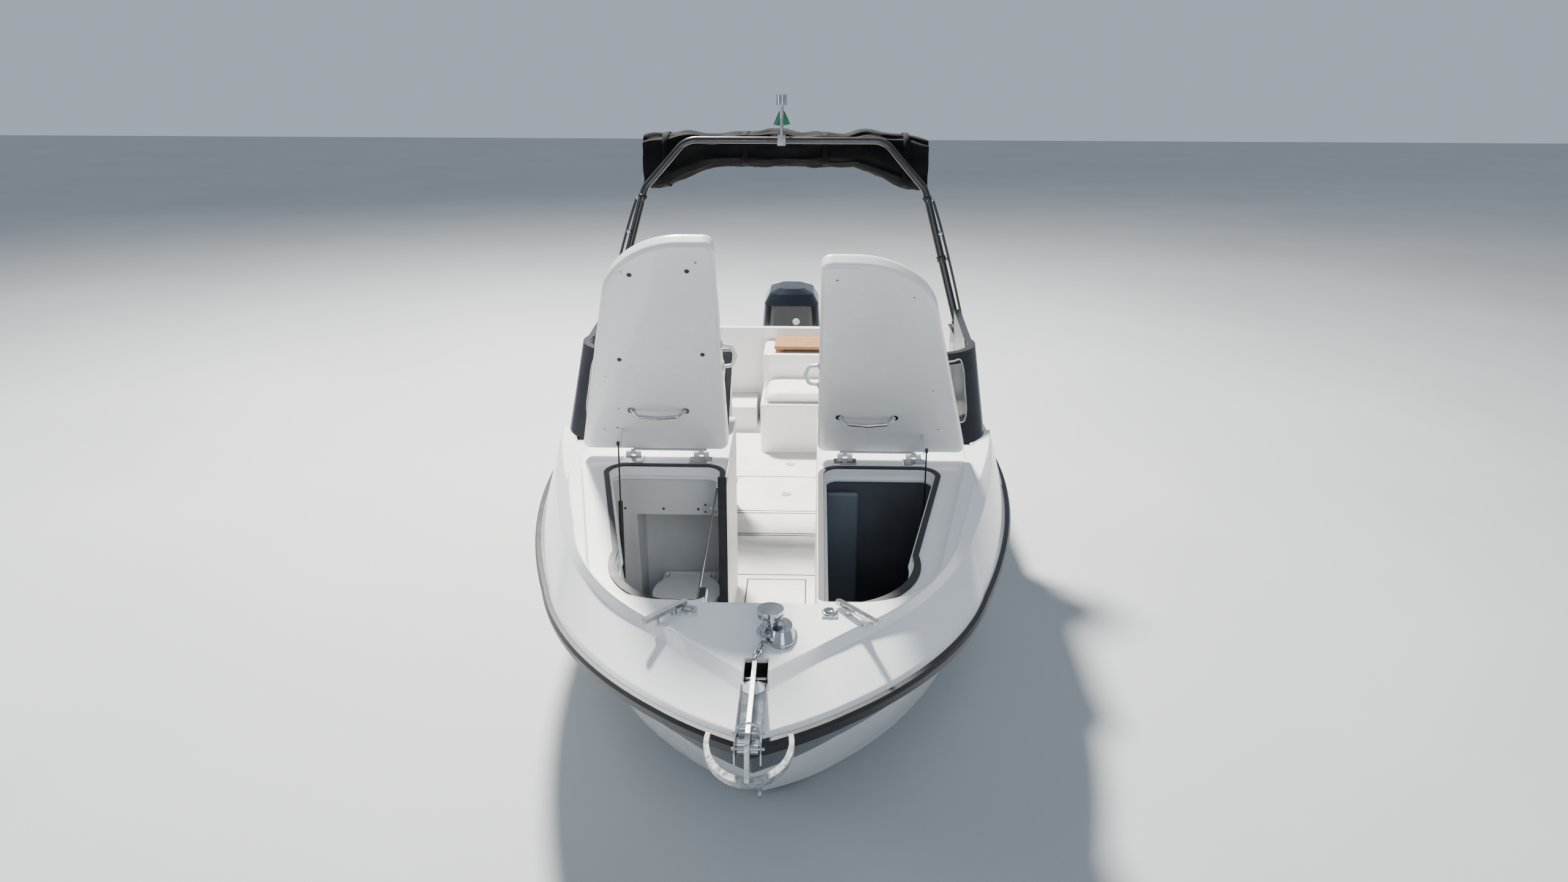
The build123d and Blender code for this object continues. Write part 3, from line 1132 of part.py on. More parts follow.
# white light on its pole above the hoop, with the flag
with BuildPart() as light_pole:
    add(rod_between((LIGHT_X, TOWER_TOP_Y, TOWER_TOP_Z), (LIGHT_X, TOWER_TOP_Y, LIGHT_TOP - 66), 12))
    add(box(LIGHT_X - 26, LIGHT_X + 26, TOWER_TOP_Y - TOWER_TUBE - 7, TOWER_TOP_Y + TOWER_TUBE + 7,
            TOWER_TOP_Z - TOWER_TUBE - 7, TOWER_TOP_Z + TOWER_TUBE + 10))
stern_light = rod_between((LIGHT_X, TOWER_TOP_Y, LIGHT_TOP - 66), (LIGHT_X, TOWER_TOP_Y, LIGHT_TOP), 34)
save(light_pole.part + stern_light - tower, "stern_light")
flag = box(LIGHT_X - 60, LIGHT_X + 60, TOWER_TOP_Y + 12.2, TOWER_TOP_Y + 42, CANVAS_TOP + 8, LIGHT_TOP - 90)
save(flag, "furled_flag")

# hull in four mouldings, with its eyes and swim steps
def eye(x, y, z, dy):
    """Ring bolt whose ring stands off the hull along y."""
    ring = Rot(0, 90, 0) * (Cylinder(EYE_RADIUS + 7, 12) - Cylinder(EYE_RADIUS, 14))
    stem = Pos(0, -44 * dy, 0) * Box(12, 60, 16)
    return Pos(x, y + dy * 40, z) * (ring + stem)


transom = hull.part & box(-1500, 1500, HOLD_END, STERN + 1, -1000, 1500)
for name, x, y, z, dx, dy in EYES:
    if dy > 0:
        transom = transom + eye(x, y, z, dy)
    else:
        save(eye(x, y, z, dy) - hull.part, name)
for side, name in SIDES:
    transom = transom + box(side * (WELL_HALF + 30), side * (HALF_BEAM - 190), STERN - 20, STERN + PLATFORM,
                            PLATFORM_Z - 40, PLATFORM_Z)
save(transom, "hull_transom")
bottom = hull.part & box(-1500, 1500, -4000, HOLD_END, -1000, HULL_CUT)
save(bottom, "hull_bottom")
for side, name in SIDES:
    topside = hull.part & box(0, side * 1500, -4000, HOLD_END, HULL_CUT, 1500)
    save(topside, f"{name}_topside")
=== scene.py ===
"""Finishes, soft goods and small fittings of a walk-through bow speedboat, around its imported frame.

Metres. The bow points to -Y, port is +X, and z = 0 is the waterline, where the stage's floor lies.
"""
import json
import math

import bmesh
import bpy
from bpy.props import FloatProperty, FloatVectorProperty, PointerProperty
from mathutils import Matrix, Vector, noise


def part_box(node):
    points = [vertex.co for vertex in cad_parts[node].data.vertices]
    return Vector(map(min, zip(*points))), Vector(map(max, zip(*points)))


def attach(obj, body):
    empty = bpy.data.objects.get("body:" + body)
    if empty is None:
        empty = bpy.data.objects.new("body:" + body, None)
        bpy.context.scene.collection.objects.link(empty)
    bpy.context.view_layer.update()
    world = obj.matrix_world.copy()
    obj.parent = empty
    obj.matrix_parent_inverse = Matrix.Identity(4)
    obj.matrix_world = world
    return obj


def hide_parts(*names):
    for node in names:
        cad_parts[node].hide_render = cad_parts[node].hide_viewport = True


bl_info = {
    "name": "Walk-through bow speedboat",
    "version": (1, 0, 0),
    "blender": (4, 5, 0),
    "location": "View3D > Sidebar > Boat",
    "description": "Dresses the packed speedboat with its finishes, canvas, cushions and fittings",
    "category": "Object",
}

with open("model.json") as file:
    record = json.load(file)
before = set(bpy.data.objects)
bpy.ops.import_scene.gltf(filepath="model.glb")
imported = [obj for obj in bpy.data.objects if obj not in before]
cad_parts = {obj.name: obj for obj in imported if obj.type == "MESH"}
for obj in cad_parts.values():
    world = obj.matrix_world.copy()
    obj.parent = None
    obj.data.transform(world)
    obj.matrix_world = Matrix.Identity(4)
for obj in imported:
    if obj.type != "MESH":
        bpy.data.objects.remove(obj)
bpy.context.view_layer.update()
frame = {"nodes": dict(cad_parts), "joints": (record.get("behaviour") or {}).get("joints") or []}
NODES = frame["nodes"]
JOINTS = {joint["name"]: joint for joint in frame["joints"]}
SIDES = [(-1, "starboard"), (1, "port")]

# height of the rub rail's line at the bow, how it runs aft, and how far ahead of amidships it starts
SHEER_BOW = 1.080
SHEER_SLOPE = -0.0303
BOW = 3.283
# the foredeck's plane, through a line across the boat
DECK_Y = -1.250
DECK_Z = 1.330
DECK_TURN = math.atan(0.103)
# the lids' open rest
OPEN_ANGLE = {"starboard": math.radians(65.0), "port": math.radians(60.0)}
HINGE = Vector(JOINTS["starboard_lid_hinge"]["pos_m"])


# points on the boat
def on_deck(x, y, lift):
    """Point at x and y along the foredeck plane, lifted above it."""
    run = y - DECK_Y
    return Vector((x, DECK_Y + run * math.cos(DECK_TURN) - lift * math.sin(DECK_TURN),
                   DECK_Z + run * math.sin(DECK_TURN) + lift * math.cos(DECK_TURN)))


def open_lid(name):
    """Matrix that turns what is placed on one side's closed lid to the lid's open rest."""
    to_hinge = Matrix.Translation(Vector((0, HINGE.y, HINGE.z)))
    return to_hinge @ Matrix.Rotation(-OPEN_ANGLE[name], 4, "X") @ to_hinge.inverted()


# making meshes
def finish_object(name, mesh, material, body, smooth=True):
    """Links a mesh as a piece that rides on a body, with one material."""
    piece = bpy.data.objects.new(name, mesh)
    bpy.context.scene.collection.objects.link(piece)
    if material is not None:
        mesh.materials.clear()
        mesh.materials.append(material)
    if smooth:
        for polygon in mesh.polygons:
            polygon.use_smooth = True
    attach(piece, body)
    return piece


def mesh_from(name, vertices, faces):
    """Mesh with its normals turned outward."""
    mesh = bpy.data.meshes.new(name)
    mesh.from_pydata([tuple(v) for v in vertices], [], faces)
    work = bmesh.new()
    work.from_mesh(mesh)
    bmesh.ops.recalc_face_normals(work, faces=work.faces)
    work.to_mesh(mesh)
    work.free()
    return mesh


def joined(name, meshes, material, body, smooth=True):
    """One piece out of several meshes."""
    work = bmesh.new()
    for mesh in meshes:
        work.from_mesh(mesh)
        bpy.data.meshes.remove(mesh)
    mesh = bpy.data.meshes.new(name)
    work.to_mesh(mesh)
    work.free()
    return finish_object(name, mesh, material, body, smooth)


def turned_to(axis):
    """Rotation that takes +Z to an axis."""
    return Vector(axis).normalized().to_track_quat("Z", "Y").to_matrix().to_4x4()


def ring_faces(rings, sides, closed=False):
    """Faces between rings of like points, capped at both ends unless the run closes on itself."""
    faces = []
    for ring in range(rings if closed else rings - 1):
        near, far = ring * sides, (ring + 1) % rings * sides
        for step in range(sides):
            follow = (step + 1) % sides
            faces.append((near + step, near + follow, far + follow, far + step))
    if not closed:
        faces.append(tuple(reversed(range(sides))))
        faces.append(tuple(range((rings - 1) * sides, rings * sides)))
    return faces


def grid_faces(columns, rows):
    """Faces of a grid whose points run down each column in turn."""
    step = rows + 1
    starts = [a for i in range(columns) for a in range(i * step, i * step + rows)]
    return [(a, a + 1, a + step + 1, a + step) for a in starts]


def turned(profile, place, axis=(0, 0, 1), sides=32):
    """Closed mesh of a profile of (radius, height) points spun about an axis through a place."""
    turns = [math.tau * step / sides for step in range(sides)]
    matrix = Matrix.Translation(Vector(place)) @ turned_to(axis)
    vertices = [matrix @ Vector((radius * math.cos(turn), radius * math.sin(turn), height))
                for radius, height in profile for turn in turns]
    return mesh_from("turned", vertices, ring_faces(len(profile), sides))


def tube_along(points, radius, sides=12, closed=False, wide=None):
    """Closed mesh of a round or oval bar along smooth points."""
    count = len(points)
    points = [Vector(p) for p in points]
    vertices = []
    for i, point in enumerate(points):
        before = points[i - 1] if (i or closed) else point
        after = points[(i + 1) % count] if (i < count - 1 or closed) else point
        along = (after - before).normalized()
        across = along.cross(Vector((0, 0, 1)))
        if across.length < 0.1:
            across = along.cross(Vector((1, 0, 0)))
        across.normalize()
        rise = across.cross(along).normalized()
        for step in range(sides):
            turn = math.tau * step / sides
            vertices.append(point + across * math.cos(turn) * (wide or radius)
                            + rise * math.sin(turn) * radius)
    return mesh_from("tube", vertices, ring_faces(count, sides, closed))


def smooth_line(points, steps=8, closed=False):
    """Points of a smooth curve through a few points."""
    points = [Vector(p) for p in points]
    count = len(points)
    line = []
    runs = count if closed else count - 1
    for i in range(runs):
        p0 = points[(i - 1) % count] if (i or closed) else points[0]
        p1 = points[i]
        p2 = points[(i + 1) % count]
        p3 = points[(i + 2) % count] if (i + 2 < count or closed) else points[-1]
        for step in range(steps):
            t = step / steps
            line.append(0.5 * (2 * p1 + (p2 - p0) * t + (2 * p0 - 5 * p1 + 4 * p2 - p3) * t * t
                               + (3 * p1 - p0 - 3 * p2 + p3) * t ** 3))
    if not closed:
        line.append(points[-1])
    return line


def block(low, high, edge, segments=3, matrix=None):
    """Closed mesh of a box with rounded edges."""
    work = bmesh.new()
    bmesh.ops.create_cube(work, size=1)
    size = Vector(high) - Vector(low)
    middle = (Vector(high) + Vector(low)) / 2
    for vertex in work.verts:
        vertex.co = Vector([vertex.co[k] * abs(size[k]) + middle[k] for k in range(3)])
    if edge:
        bmesh.ops.bevel(work, geom=work.edges[:], offset=edge, segments=segments, affect="EDGES", profile=0.5)
    if matrix is not None:
        bmesh.ops.transform(work, matrix=matrix, verts=work.verts[:])
    bmesh.ops.recalc_face_normals(work, faces=work.faces)
    mesh = bpy.data.meshes.new("block")
    work.to_mesh(mesh)
    work.free()
    return mesh


# wiring nodes
def feed(tree, node, values):
    """Links outputs to a node's inputs, or sets constants; an underscore in a name stands for a space."""
    for name, value in values.items():
        socket = node.inputs[name.replace("_", " ")]
        if isinstance(value, bpy.types.NodeSocket):
            tree.links.new(value, socket)
        else:
            socket.default_value = value


def wired(tree, kind, settings=None, **inputs):
    """New node in a tree, with its settings and inputs."""
    node = tree.nodes.new(kind)
    for name, value in (settings or {}).items():
        setattr(node, name, value)
    feed(tree, node, inputs)
    return node


# making finishes
class Finish:
    """A material's shader, and the steps that feed it from the boat's own coordinates."""

    def __init__(self, name):
        self.material = bpy.data.materials.new(name)
        self.material.use_nodes = True
        self.tree = self.material.node_tree
        self.shader = self.tree.nodes["Principled BSDF"]
        self.place = self.step("ShaderNodeTexCoord").outputs["Object"]

    def step(self, kind, settings=None, **inputs):
        """New node of the material."""
        return wired(self.tree, kind, settings, **inputs)

    def give(self, **values):
        """Feeds the shader's inputs."""
        feed(self.tree, self.shader, values)

    def mottle(self, scale, detail, stretch=(1, 1, 1)):
        """Cloudy noise over the boat."""
        mapping = self.step("ShaderNodeMapping", Scale=stretch, Vector=self.place)
        cloud = self.step("ShaderNodeTexNoise", Scale=scale, Detail=detail, Vector=mapping.outputs["Vector"])
        return cloud.outputs["Fac"]

    def cells(self, scale, feature="F1"):
        """Cell pattern over the boat."""
        return self.step("ShaderNodeTexVoronoi", {"feature": feature}, Scale=scale, Vector=self.place).outputs

    def blend(self, share, dark, light, low=0.3, high=0.7):
        """Colour that runs from dark to light with a share."""
        ramp = self.step("ShaderNodeValToRGB", Fac=share)
        for stop, position, colour in zip(ramp.color_ramp.elements, (low, high), (dark, light)):
            stop.position = position
            stop.color = (*colour, 1)
        return ramp.outputs["Color"]

    def spread(self, share, low, high):
        """Value that runs between two limits with a share."""
        return self.step("ShaderNodeMapRange", Value=share, To_Min=low, To_Max=high).outputs["Result"]

    def sum(self, operation, *values):
        """Values put through one arithmetic step."""
        step = self.step("ShaderNodeMath", {"operation": operation})
        for socket, value in zip(step.inputs, values):
            if isinstance(value, bpy.types.NodeSocket):
                self.tree.links.new(value, socket)
            else:
                socket.default_value = value
        return step.outputs["Value"]

    def painted(self, share, base, paint):
        """A base colour with plain paint where the share is 1."""
        colour = self.step("ShaderNodeMix", {"data_type": "RGBA"}, Factor=share, A=base, B=(*paint, 1))
        return colour.outputs["Result"]

    def parts(self):
        """The place's coordinates across, along and above the boat."""
        return self.step("ShaderNodeSeparateXYZ", Vector=self.place).outputs

    def relief(self, height, depth, strength=0.5, soften=0.0):
        """Puts bump on the shader, over edges rounded by soften, and returns the finished material."""
        bump = self.step("ShaderNodeBump", Strength=strength, Distance=depth, Height=height)
        if soften:
            edge = self.step("ShaderNodeBevel", {"samples": 4}, Radius=soften)
            feed(self.tree, bump, {"Normal": edge.outputs["Normal"]})
        self.give(Normal=bump.outputs["Normal"])
        return self.material


def hull_finish():
    """White gelcoat with a black band under the rub rail and a dark boot line at the water."""
    band_top, band_low, boot_top = 0.058, 0.205, 0.045
    made = Finish("hull gelcoat")
    across, along, height = made.parts()
    cloud = made.mottle(2.2, 3.0)
    white = made.blend(cloud, (0.74, 0.75, 0.75), (0.84, 0.84, 0.83))
    rail = made.sum("MULTIPLY_ADD", along, SHEER_SLOPE, SHEER_BOW + SHEER_SLOPE * BOW)
    depth = made.sum("SUBTRACT", rail, height)
    below_top, above_low = made.sum("GREATER_THAN", depth, band_top), made.sum("LESS_THAN", depth, band_low)
    band = made.sum("MULTIPLY", below_top, above_low)
    dark = made.sum("MAXIMUM", band, made.sum("LESS_THAN", height, boot_top))
    made.give(Base_Color=made.painted(dark, white, (0.012, 0.013, 0.016)),
              Roughness=made.spread(cloud, 0.16, 0.28), Coat_Weight=0.6, Coat_Roughness=0.05)
    return made.relief(made.mottle(3.0, 2.0), 0.0015, 0.25)


# the doorway's rim between the walkway and the starboard locker, painted as dark as the shade inside the
# locker
SHADED_LIP_X = (-0.2715, -0.2615)
SHADED_LIP_Y = (-2.398, -1.432)
SHADED_LIP_TOP = 1.262


def deck_finish():
    """White gelcoat, with painted shade along the rim of the starboard locker's doorway."""
    made = Finish("deck gelcoat")
    across, along, height = made.parts()
    cloud = made.mottle(1.6, 3.0)
    white = made.blend(cloud, (0.78, 0.79, 0.79), (0.87, 0.87, 0.86))
    shaded_lip = made.sum("LESS_THAN", height, SHADED_LIP_TOP)
    for value, (low, high) in ((across, SHADED_LIP_X), (along, SHADED_LIP_Y)):
        shaded_lip = made.sum("MULTIPLY", shaded_lip, made.sum("GREATER_THAN", value, low))
        shaded_lip = made.sum("MULTIPLY", shaded_lip, made.sum("LESS_THAN", value, high))
    # painted shade: the doorway's rim takes the dark colour of the shade inside the locker
    made.give(Base_Color=made.painted(shaded_lip, white, (0.03, 0.032, 0.036)),
              Roughness=made.spread(cloud, 0.16, 0.3), Coat_Weight=0.6, Coat_Roughness=0.06)
    return made.relief(made.mottle(4.0, 3.0), 0.0012, 0.2, 0.014)


def sole_finish():
    """Grey-white moulded sole with a raised grip."""
    made = Finish("moulded sole")
    cloud = made.mottle(3.0, 5.0)
    made.give(Base_Color=made.blend(cloud, (0.62, 0.61, 0.58), (0.76, 0.75, 0.72)),
              Roughness=made.spread(cloud, 0.42, 0.6))
    return made.relief(made.cells(260)["Distance"], 0.0007, 0.5, 0.006)


def woven_finish(name, dark, light, threads, rough=0.85, sheen=0.3, shine=0.5):
    """Cloth with a plain weave and faded patches."""
    made = Finish(name)
    cloud = made.mottle(4.0, 5.0)
    weave = []
    for axis in ("X", "Z"):
        wave = made.step("ShaderNodeTexWave", {"bands_direction": axis}, Scale=threads, Distortion=0.4,
                         Vector=made.place)
        weave.append(wave.outputs["Fac"])
    made.give(Base_Color=made.blend(cloud, dark, light), Roughness=rough, Specular_IOR_Level=shine,
              Sheen_Weight=sheen)
    return made.relief(made.sum("MAXIMUM", *weave), 0.0006)


def leather_finish():
    """Grained pale upholstery vinyl."""
    made = Finish("pale vinyl")
    cloud = made.mottle(5.0, 5.0)
    made.give(Base_Color=made.blend(cloud, (0.68, 0.66, 0.61), (0.80, 0.78, 0.74)),
              Roughness=made.spread(cloud, 0.42, 0.6), Sheen_Weight=0.12)
    return made.relief(made.cells(420, "DISTANCE_TO_EDGE")["Distance"], 0.0005)


def steel_finish(name, dark, light, rough, scale=18.0, stretch=(1, 1, 1)):
    """Polished or brushed stainless steel with fine wipe marks."""
    made = Finish(name)
    cloud = made.mottle(scale, 6.0, stretch)
    made.give(Base_Color=made.blend(cloud, dark, light), Roughness=made.spread(cloud, *rough), Metallic=1.0)
    return made.relief(made.mottle(90.0, 4.0, (1, 8, 1)), 0.00012, 0.3, 0.0015)


def glass_finish():
    """Dark tinted acrylic."""
    made = Finish("tinted pane")
    cloud = made.mottle(8.0, 3.0)
    made.give(Base_Color=made.blend(cloud, (0.10, 0.12, 0.13), (0.16, 0.18, 0.19)),
              Roughness=made.spread(cloud, 0.03, 0.09), Transmission_Weight=0.85, IOR=1.49, Alpha=0.75)
    return made.material


def teak_finish():
    """Oiled teak with long grain across the boat and dark grooves between its slats."""
    slats_per_metre, groove_share = 19.0, 0.10
    made = Finish("oiled teak")
    grain = made.mottle(14.0, 8.0, (0.6, 9, 9))
    streak = made.mottle(60.0, 6.0, (0.4, 8, 8))
    mixed = made.sum("MULTIPLY_ADD", grain, 0.65, made.sum("MULTIPLY", streak, 0.35))
    wood = made.blend(mixed, (0.20, 0.085, 0.025), (0.44, 0.23, 0.08), 0.35, 0.65)
    slat = made.sum("FRACT", made.sum("MULTIPLY", made.parts()[1], slats_per_metre))
    groove = made.sum("LESS_THAN", slat, groove_share)
    made.give(Base_Color=made.painted(groove, wood, (0.05, 0.022, 0.008)),
              Roughness=made.spread(streak, 0.38, 0.58))
    return made.relief(made.sum("SUBTRACT", streak, groove), 0.001, 0.5, 0.002)


def spangled_finish():
    """Hot-dip galvanised steel with its crystal spangle."""
    made = Finish("galvanised steel")
    share = made.step("ShaderNodeSeparateColor", Color=made.cells(90)["Color"]).outputs
    red, green = share["Red"], share["Green"]
    made.give(Base_Color=made.blend(red, (0.38, 0.40, 0.41), (0.60, 0.61, 0.61), 0.0, 1.0),
              Roughness=made.spread(green, 0.3, 0.5), Metallic=1.0)
    return made.relief(red, 0.0002, 0.4, 0.002)


def mottled_finish(name, dark, light, rough, scale, detail, grain, depth, strength, soften, metal, coat):
    """Finish with a mottled colour, uneven gloss and fine grain."""
    made = Finish(name)
    cloud = made.mottle(scale, detail)
    made.give(Base_Color=made.blend(cloud, dark, light), Roughness=made.spread(cloud, *rough), Metallic=metal)
    if coat:
        made.give(Coat_Weight=coat, Coat_Roughness=0.06)
    return made.relief(made.mottle(grain, 3.0), depth, strength, soften)


# mottled finishes, in two rows each: the material's name, dark and light colour and roughness limits, then
# the mottle's scale and detail, the grain's scale, depth and strength, the edge's radius, metal and coat
MOTTLED = {
    "gelcoat": ("white gelcoat", (0.76, 0.77, 0.77), (0.85, 0.85, 0.84), (0.16, 0.3),
                1.6, 3.0, 4.0, 0.0012, 0.2, 0.014, 0, 0.6),
    "lid gelcoat": ("lid gelcoat", (0.77, 0.78, 0.78), (0.86, 0.86, 0.85), (0.2, 0.34),
                    2.4, 3.0, 5.0, 0.0012, 0.25, 0.016, 0, 0.4),
    "locker": ("locker gelcoat", (0.50, 0.51, 0.52), (0.62, 0.63, 0.64), (0.4, 0.55),
               2.0, 5.0, 30.0, 0.002, 0.35, 0.01, 0, 0),
    # port locker lining: its own dark colour, darkened further with painted shade
    "shaded dark locker": ("shaded dark locker lining", (0.05, 0.055, 0.065), (0.11, 0.12, 0.135), (0.5, 0.65),
                    2.0, 5.0, 30.0, 0.002, 0.35, 0.01, 0, 0),
    "locker panel": ("grey locker panel", (0.10, 0.12, 0.14), (0.14, 0.16, 0.18), (0.4, 0.55),
                     3.0, 3.0, 200.0, 0.0004, 0.4, 0.008, 0, 0),
    "rail": ("rail rubber", (0.003, 0.004, 0.006), (0.008, 0.009, 0.012), (0.34, 0.5),
             9.0, 4.0, 60.0, 0.0006, 0.4, 0.004, 0, 0),
    "seal": ("hatch seal rubber", (0.006, 0.007, 0.01), (0.016, 0.017, 0.022), (0.4, 0.6),
             14.0, 4.0, 120.0, 0.0004, 0.4, 0.003, 0, 0),
    "surround": ("windscreen surround", (0.004, 0.004, 0.006), (0.012, 0.012, 0.014), (0.24, 0.36),
                 5.0, 4.0, 240.0, 0.0005, 0.4, 0.008, 0, 0),
    "powder coat": ("black powder coat", (0.003, 0.003, 0.004), (0.008, 0.008, 0.010), (0.22, 0.36),
                    12.0, 4.0, 180.0, 0.0004, 0.4, 0.003, 0, 0.3),
    "trim": ("pale trim", (0.34, 0.33, 0.31), (0.46, 0.45, 0.43), (0.3, 0.45),
             20.0, 4.0, 200.0, 0.0003, 0.4, 0, 0, 0),
    "cowl": ("gloss black cowl", (0.002, 0.003, 0.006), (0.005, 0.007, 0.013), (0.06, 0.12),
             4.0, 3.0, 300.0, 0.0003, 0.4, 0.006, 0, 0.25),
    "casting": ("painted casting", (0.008, 0.008, 0.01), (0.02, 0.02, 0.023), (0.3, 0.45),
                10.0, 5.0, 90.0, 0.0008, 0.4, 0.004, 0, 0.2),
    "engine": ("cast engine block", (0.10, 0.10, 0.11), (0.2, 0.2, 0.2), (0.5, 0.7),
               14.0, 6.0, 120.0, 0.001, 0.4, 0.003, 0.8, 0),
    "basin": ("white sanitary plastic", (0.74, 0.74, 0.72), (0.83, 0.83, 0.81), (0.14, 0.24),
              3.0, 3.0, 40.0, 0.0006, 0.4, 0.008, 0, 0.3),
    "black plastic": ("moulded black plastic", (0.01, 0.01, 0.011), (0.028, 0.028, 0.03), (0.4, 0.6),
                      12.0, 5.0, 400.0, 0.0004, 0.4, 0.003, 0, 0),
    # painted shade for the anchor slot's lining, and the real black of the dial faces
    "slot shade and dial black": ("painted slot shade and black dial faces", (0.003, 0.003, 0.003), (0.01, 0.01, 0.01), (0.7, 0.9),
               12.0, 4.0, 144.0, 0.0004, 0.4, 0, 0, 0),
    "floor": ("pale studio floor", (0.42, 0.44, 0.45), (0.46, 0.48, 0.49), (0.7, 0.85),
              0.4, 3.0, 4.8, 0.0002, 0.4, 0, 0, 0),
}
FINISHES = {}


def make_finishes():
    """All finishes of the boat by plain names."""
    for key, row in MOTTLED.items():
        FINISHES[key] = mottled_finish(*row)
    FINISHES.update({
        "hull": hull_finish(),
        "deck": deck_finish(),
        "sole": sole_finish(),
        "vinyl": leather_finish(),
        "glass": glass_finish(),
        "teak": teak_finish(),
        "galvanised": spangled_finish(),
        "canvas": woven_finish("black canvas", (0.002, 0.002, 0.003), (0.006, 0.006, 0.007), 260.0,
                               sheen=0.03, shine=0.12),
        "flag": woven_finish("green bunting", (0.006, 0.10, 0.045), (0.02, 0.20, 0.10), 420.0, rough=0.75),
        "steel": steel_finish("polished stainless", (0.36, 0.37, 0.39), (0.58, 0.59, 0.60), (0.08, 0.18)),
        "brushed": steel_finish("brushed stainless", (0.50, 0.50, 0.50), (0.70, 0.70, 0.69), (0.26, 0.42),
                                40.0, (1, 12, 1)),
    })


NODE_FINISH = {
    "hull": "hull_bottom starboard_topside port_topside hull_transom",
    "deck": "foredeck",
    "gelcoat": "aft_deck helm_seat_base aft_module",
    "lid gelcoat": "starboard_lid port_lid",
    "locker": "starboard_compartment",
    "shaded dark locker": "port_compartment",
    "sole": "cockpit_liner",
    "rail": "rub_rail",
    "seal": "starboard_hatch_seal port_hatch_seal",
    "surround": "starboard_windscreen_frame port_windscreen_frame",
    "glass": "starboard_windscreen_pane port_windscreen_pane",
    "powder coat": "tower starboard_strut_rod port_strut_rod",
    "black plastic": "starboard_strut_barrel port_strut_barrel helm_dash steering_wheel",
    "steel": "bow_eye bow_roller windlass stern_light starboard_grab_handle port_grab_handle "
             "bow_cleat_starboard bow_cleat_port stern_cleat_starboard stern_cleat_port",
    "teak": "teak_table",
    "casting": "motor_bracket motor_swivel motor_leg",
    "engine": "power_head",
    "cowl": "motor_cowl",
    "brushed": "propeller",
    "galvanised": "anchor",
    "basin": "toilet toilet_lid",
}


class BOAT_OT_finishes(bpy.types.Operator):
    """Gives each frame node listed in NODE_FINISH its finish"""
    bl_idname = "boat.finishes"
    bl_label = "Finish the frame"

    def execute(self, context):
        make_finishes()
        for finish, names in NODE_FINISH.items():
            for name in names.split():
                if name not in NODES:
                    raise RuntimeError(f"the frame has no node {name}")
                materials = NODES[name].data.materials
                materials.clear()
                materials.append(FINISHES[finish])
        return {"FINISHED"}


# soft goods
CLOTH_FRAMES = 20
PAD_VOXEL = 0.012
PAD_PRESSURE = 3.0
PAD_CAP = 0.010


def puffed(mesh):
    """The mesh after a short cloth simulation under pressure, with each point's move capped."""
    work = bpy.data.objects.new("puffing", mesh)
    bpy.context.scene.collection.objects.link(work)
    remesh = work.modifiers.new("remesh", "REMESH")
    remesh.mode = "VOXEL"
    remesh.voxel_size = PAD_VOXEL
    depsgraph = bpy.context.evaluated_depsgraph_get()
    dense = bpy.data.meshes.new_from_object(work.evaluated_get(depsgraph))
    work.modifiers.clear()
    work.data = dense
    before = [v.co.copy() for v in dense.vertices]
    cloth = work.modifiers.new("cloth", "CLOTH")
    cloth.settings.use_pressure = True
    cloth.settings.uniform_pressure_force = PAD_PRESSURE
    cloth.settings.mass = 0.3
    cloth.settings.tension_stiffness = 25
    cloth.settings.compression_stiffness = 25
    cloth.settings.bending_stiffness = 3
    cloth.settings.effector_weights.gravity = 0
    cloth.point_cache.frame_end = CLOTH_FRAMES
    scene = bpy.context.scene
    for step in range(1, CLOTH_FRAMES + 1):
        scene.frame_set(step)
    depsgraph = bpy.context.evaluated_depsgraph_get()
    swollen = bpy.data.meshes.new_from_object(work.evaluated_get(depsgraph))
    scene.frame_set(1)
    work.modifiers.clear()
    for vertex, start in zip(swollen.vertices, before):
        move = vertex.co - start
        if move.length > PAD_CAP:
            vertex.co = start + move.normalized() * PAD_CAP
    work.data = swollen
    dense = swollen
    bpy.data.objects.remove(work)
    return dense


# how a pad's sides pull in, and the depth and width of its sewn channels
PAD_SEAM = 0.007
PAD_CORNER = 0.045
PAD_WAIST = 0.004
CHANNEL_DEPTH = 0.006
CHANNEL_HALF = 0.007
WELT_INSET = 0.002
WELT_CORNER = 0.05
WELT_DROP = 0.02
WELT_RADIUS = 0.004


def seat_pad(low, high, crown, channels):
    """Crowned pad between two corners, pulled in at its sides, with sewn channels across its top."""
    middle = (low + high) / 2
    half = (high - low) / 2
    seams = Vector((PAD_SEAM, PAD_SEAM, 0))
    dense = puffed(block(low + seams, high - seams - Vector((0, 0, crown)), PAD_CORNER, 4))
    for vertex in dense.vertices:
        p = vertex.co
        u = max(-1.0, min(1.0, (p.x - middle.x) / half.x))
        v = max(-1.0, min(1.0, (p.y - middle.y) / half.y))
        share = max(0.0, (p.z - low.z) / (high.z - low.z))
        p.z += share * crown * (1 - u ** 4) * (1 - v ** 4)
        waist = math.sin(math.pi * min(1.0, share)) * PAD_WAIST
        p.x -= waist * u * abs(v) ** 0.5
        p.y -= waist * v * abs(u) ** 0.5
        if share > 0.6:
            phase = (v + 1) / 2 * channels
            near = abs(phase - round(phase))
            if 0.5 < phase < channels - 0.5 or near > 0.2:
                p.z -= CHANNEL_DEPTH * math.exp(-(near * half.y * 2 / channels / CHANNEL_HALF) ** 2)
    return dense


def piping(low, high, lift):
    """Sewn welt round the upper edge of a pad."""
    points = []
    inset = WELT_INSET + WELT_CORNER
    left, right, front, back = low.x + inset, high.x - inset, low.y + inset, high.y - inset
    for x, y, start in ((right, back, 0), (left, back, 90), (left, front, 180), (right, front, 270)):
        centre = Vector((x, y, lift))
        for step in range(7):
            turn = math.radians(start + 15 * step)
            points.append(centre + Vector((math.cos(turn), math.sin(turn), 0)) * WELT_CORNER)
    return tube_along(points, WELT_RADIUS, 8, True)


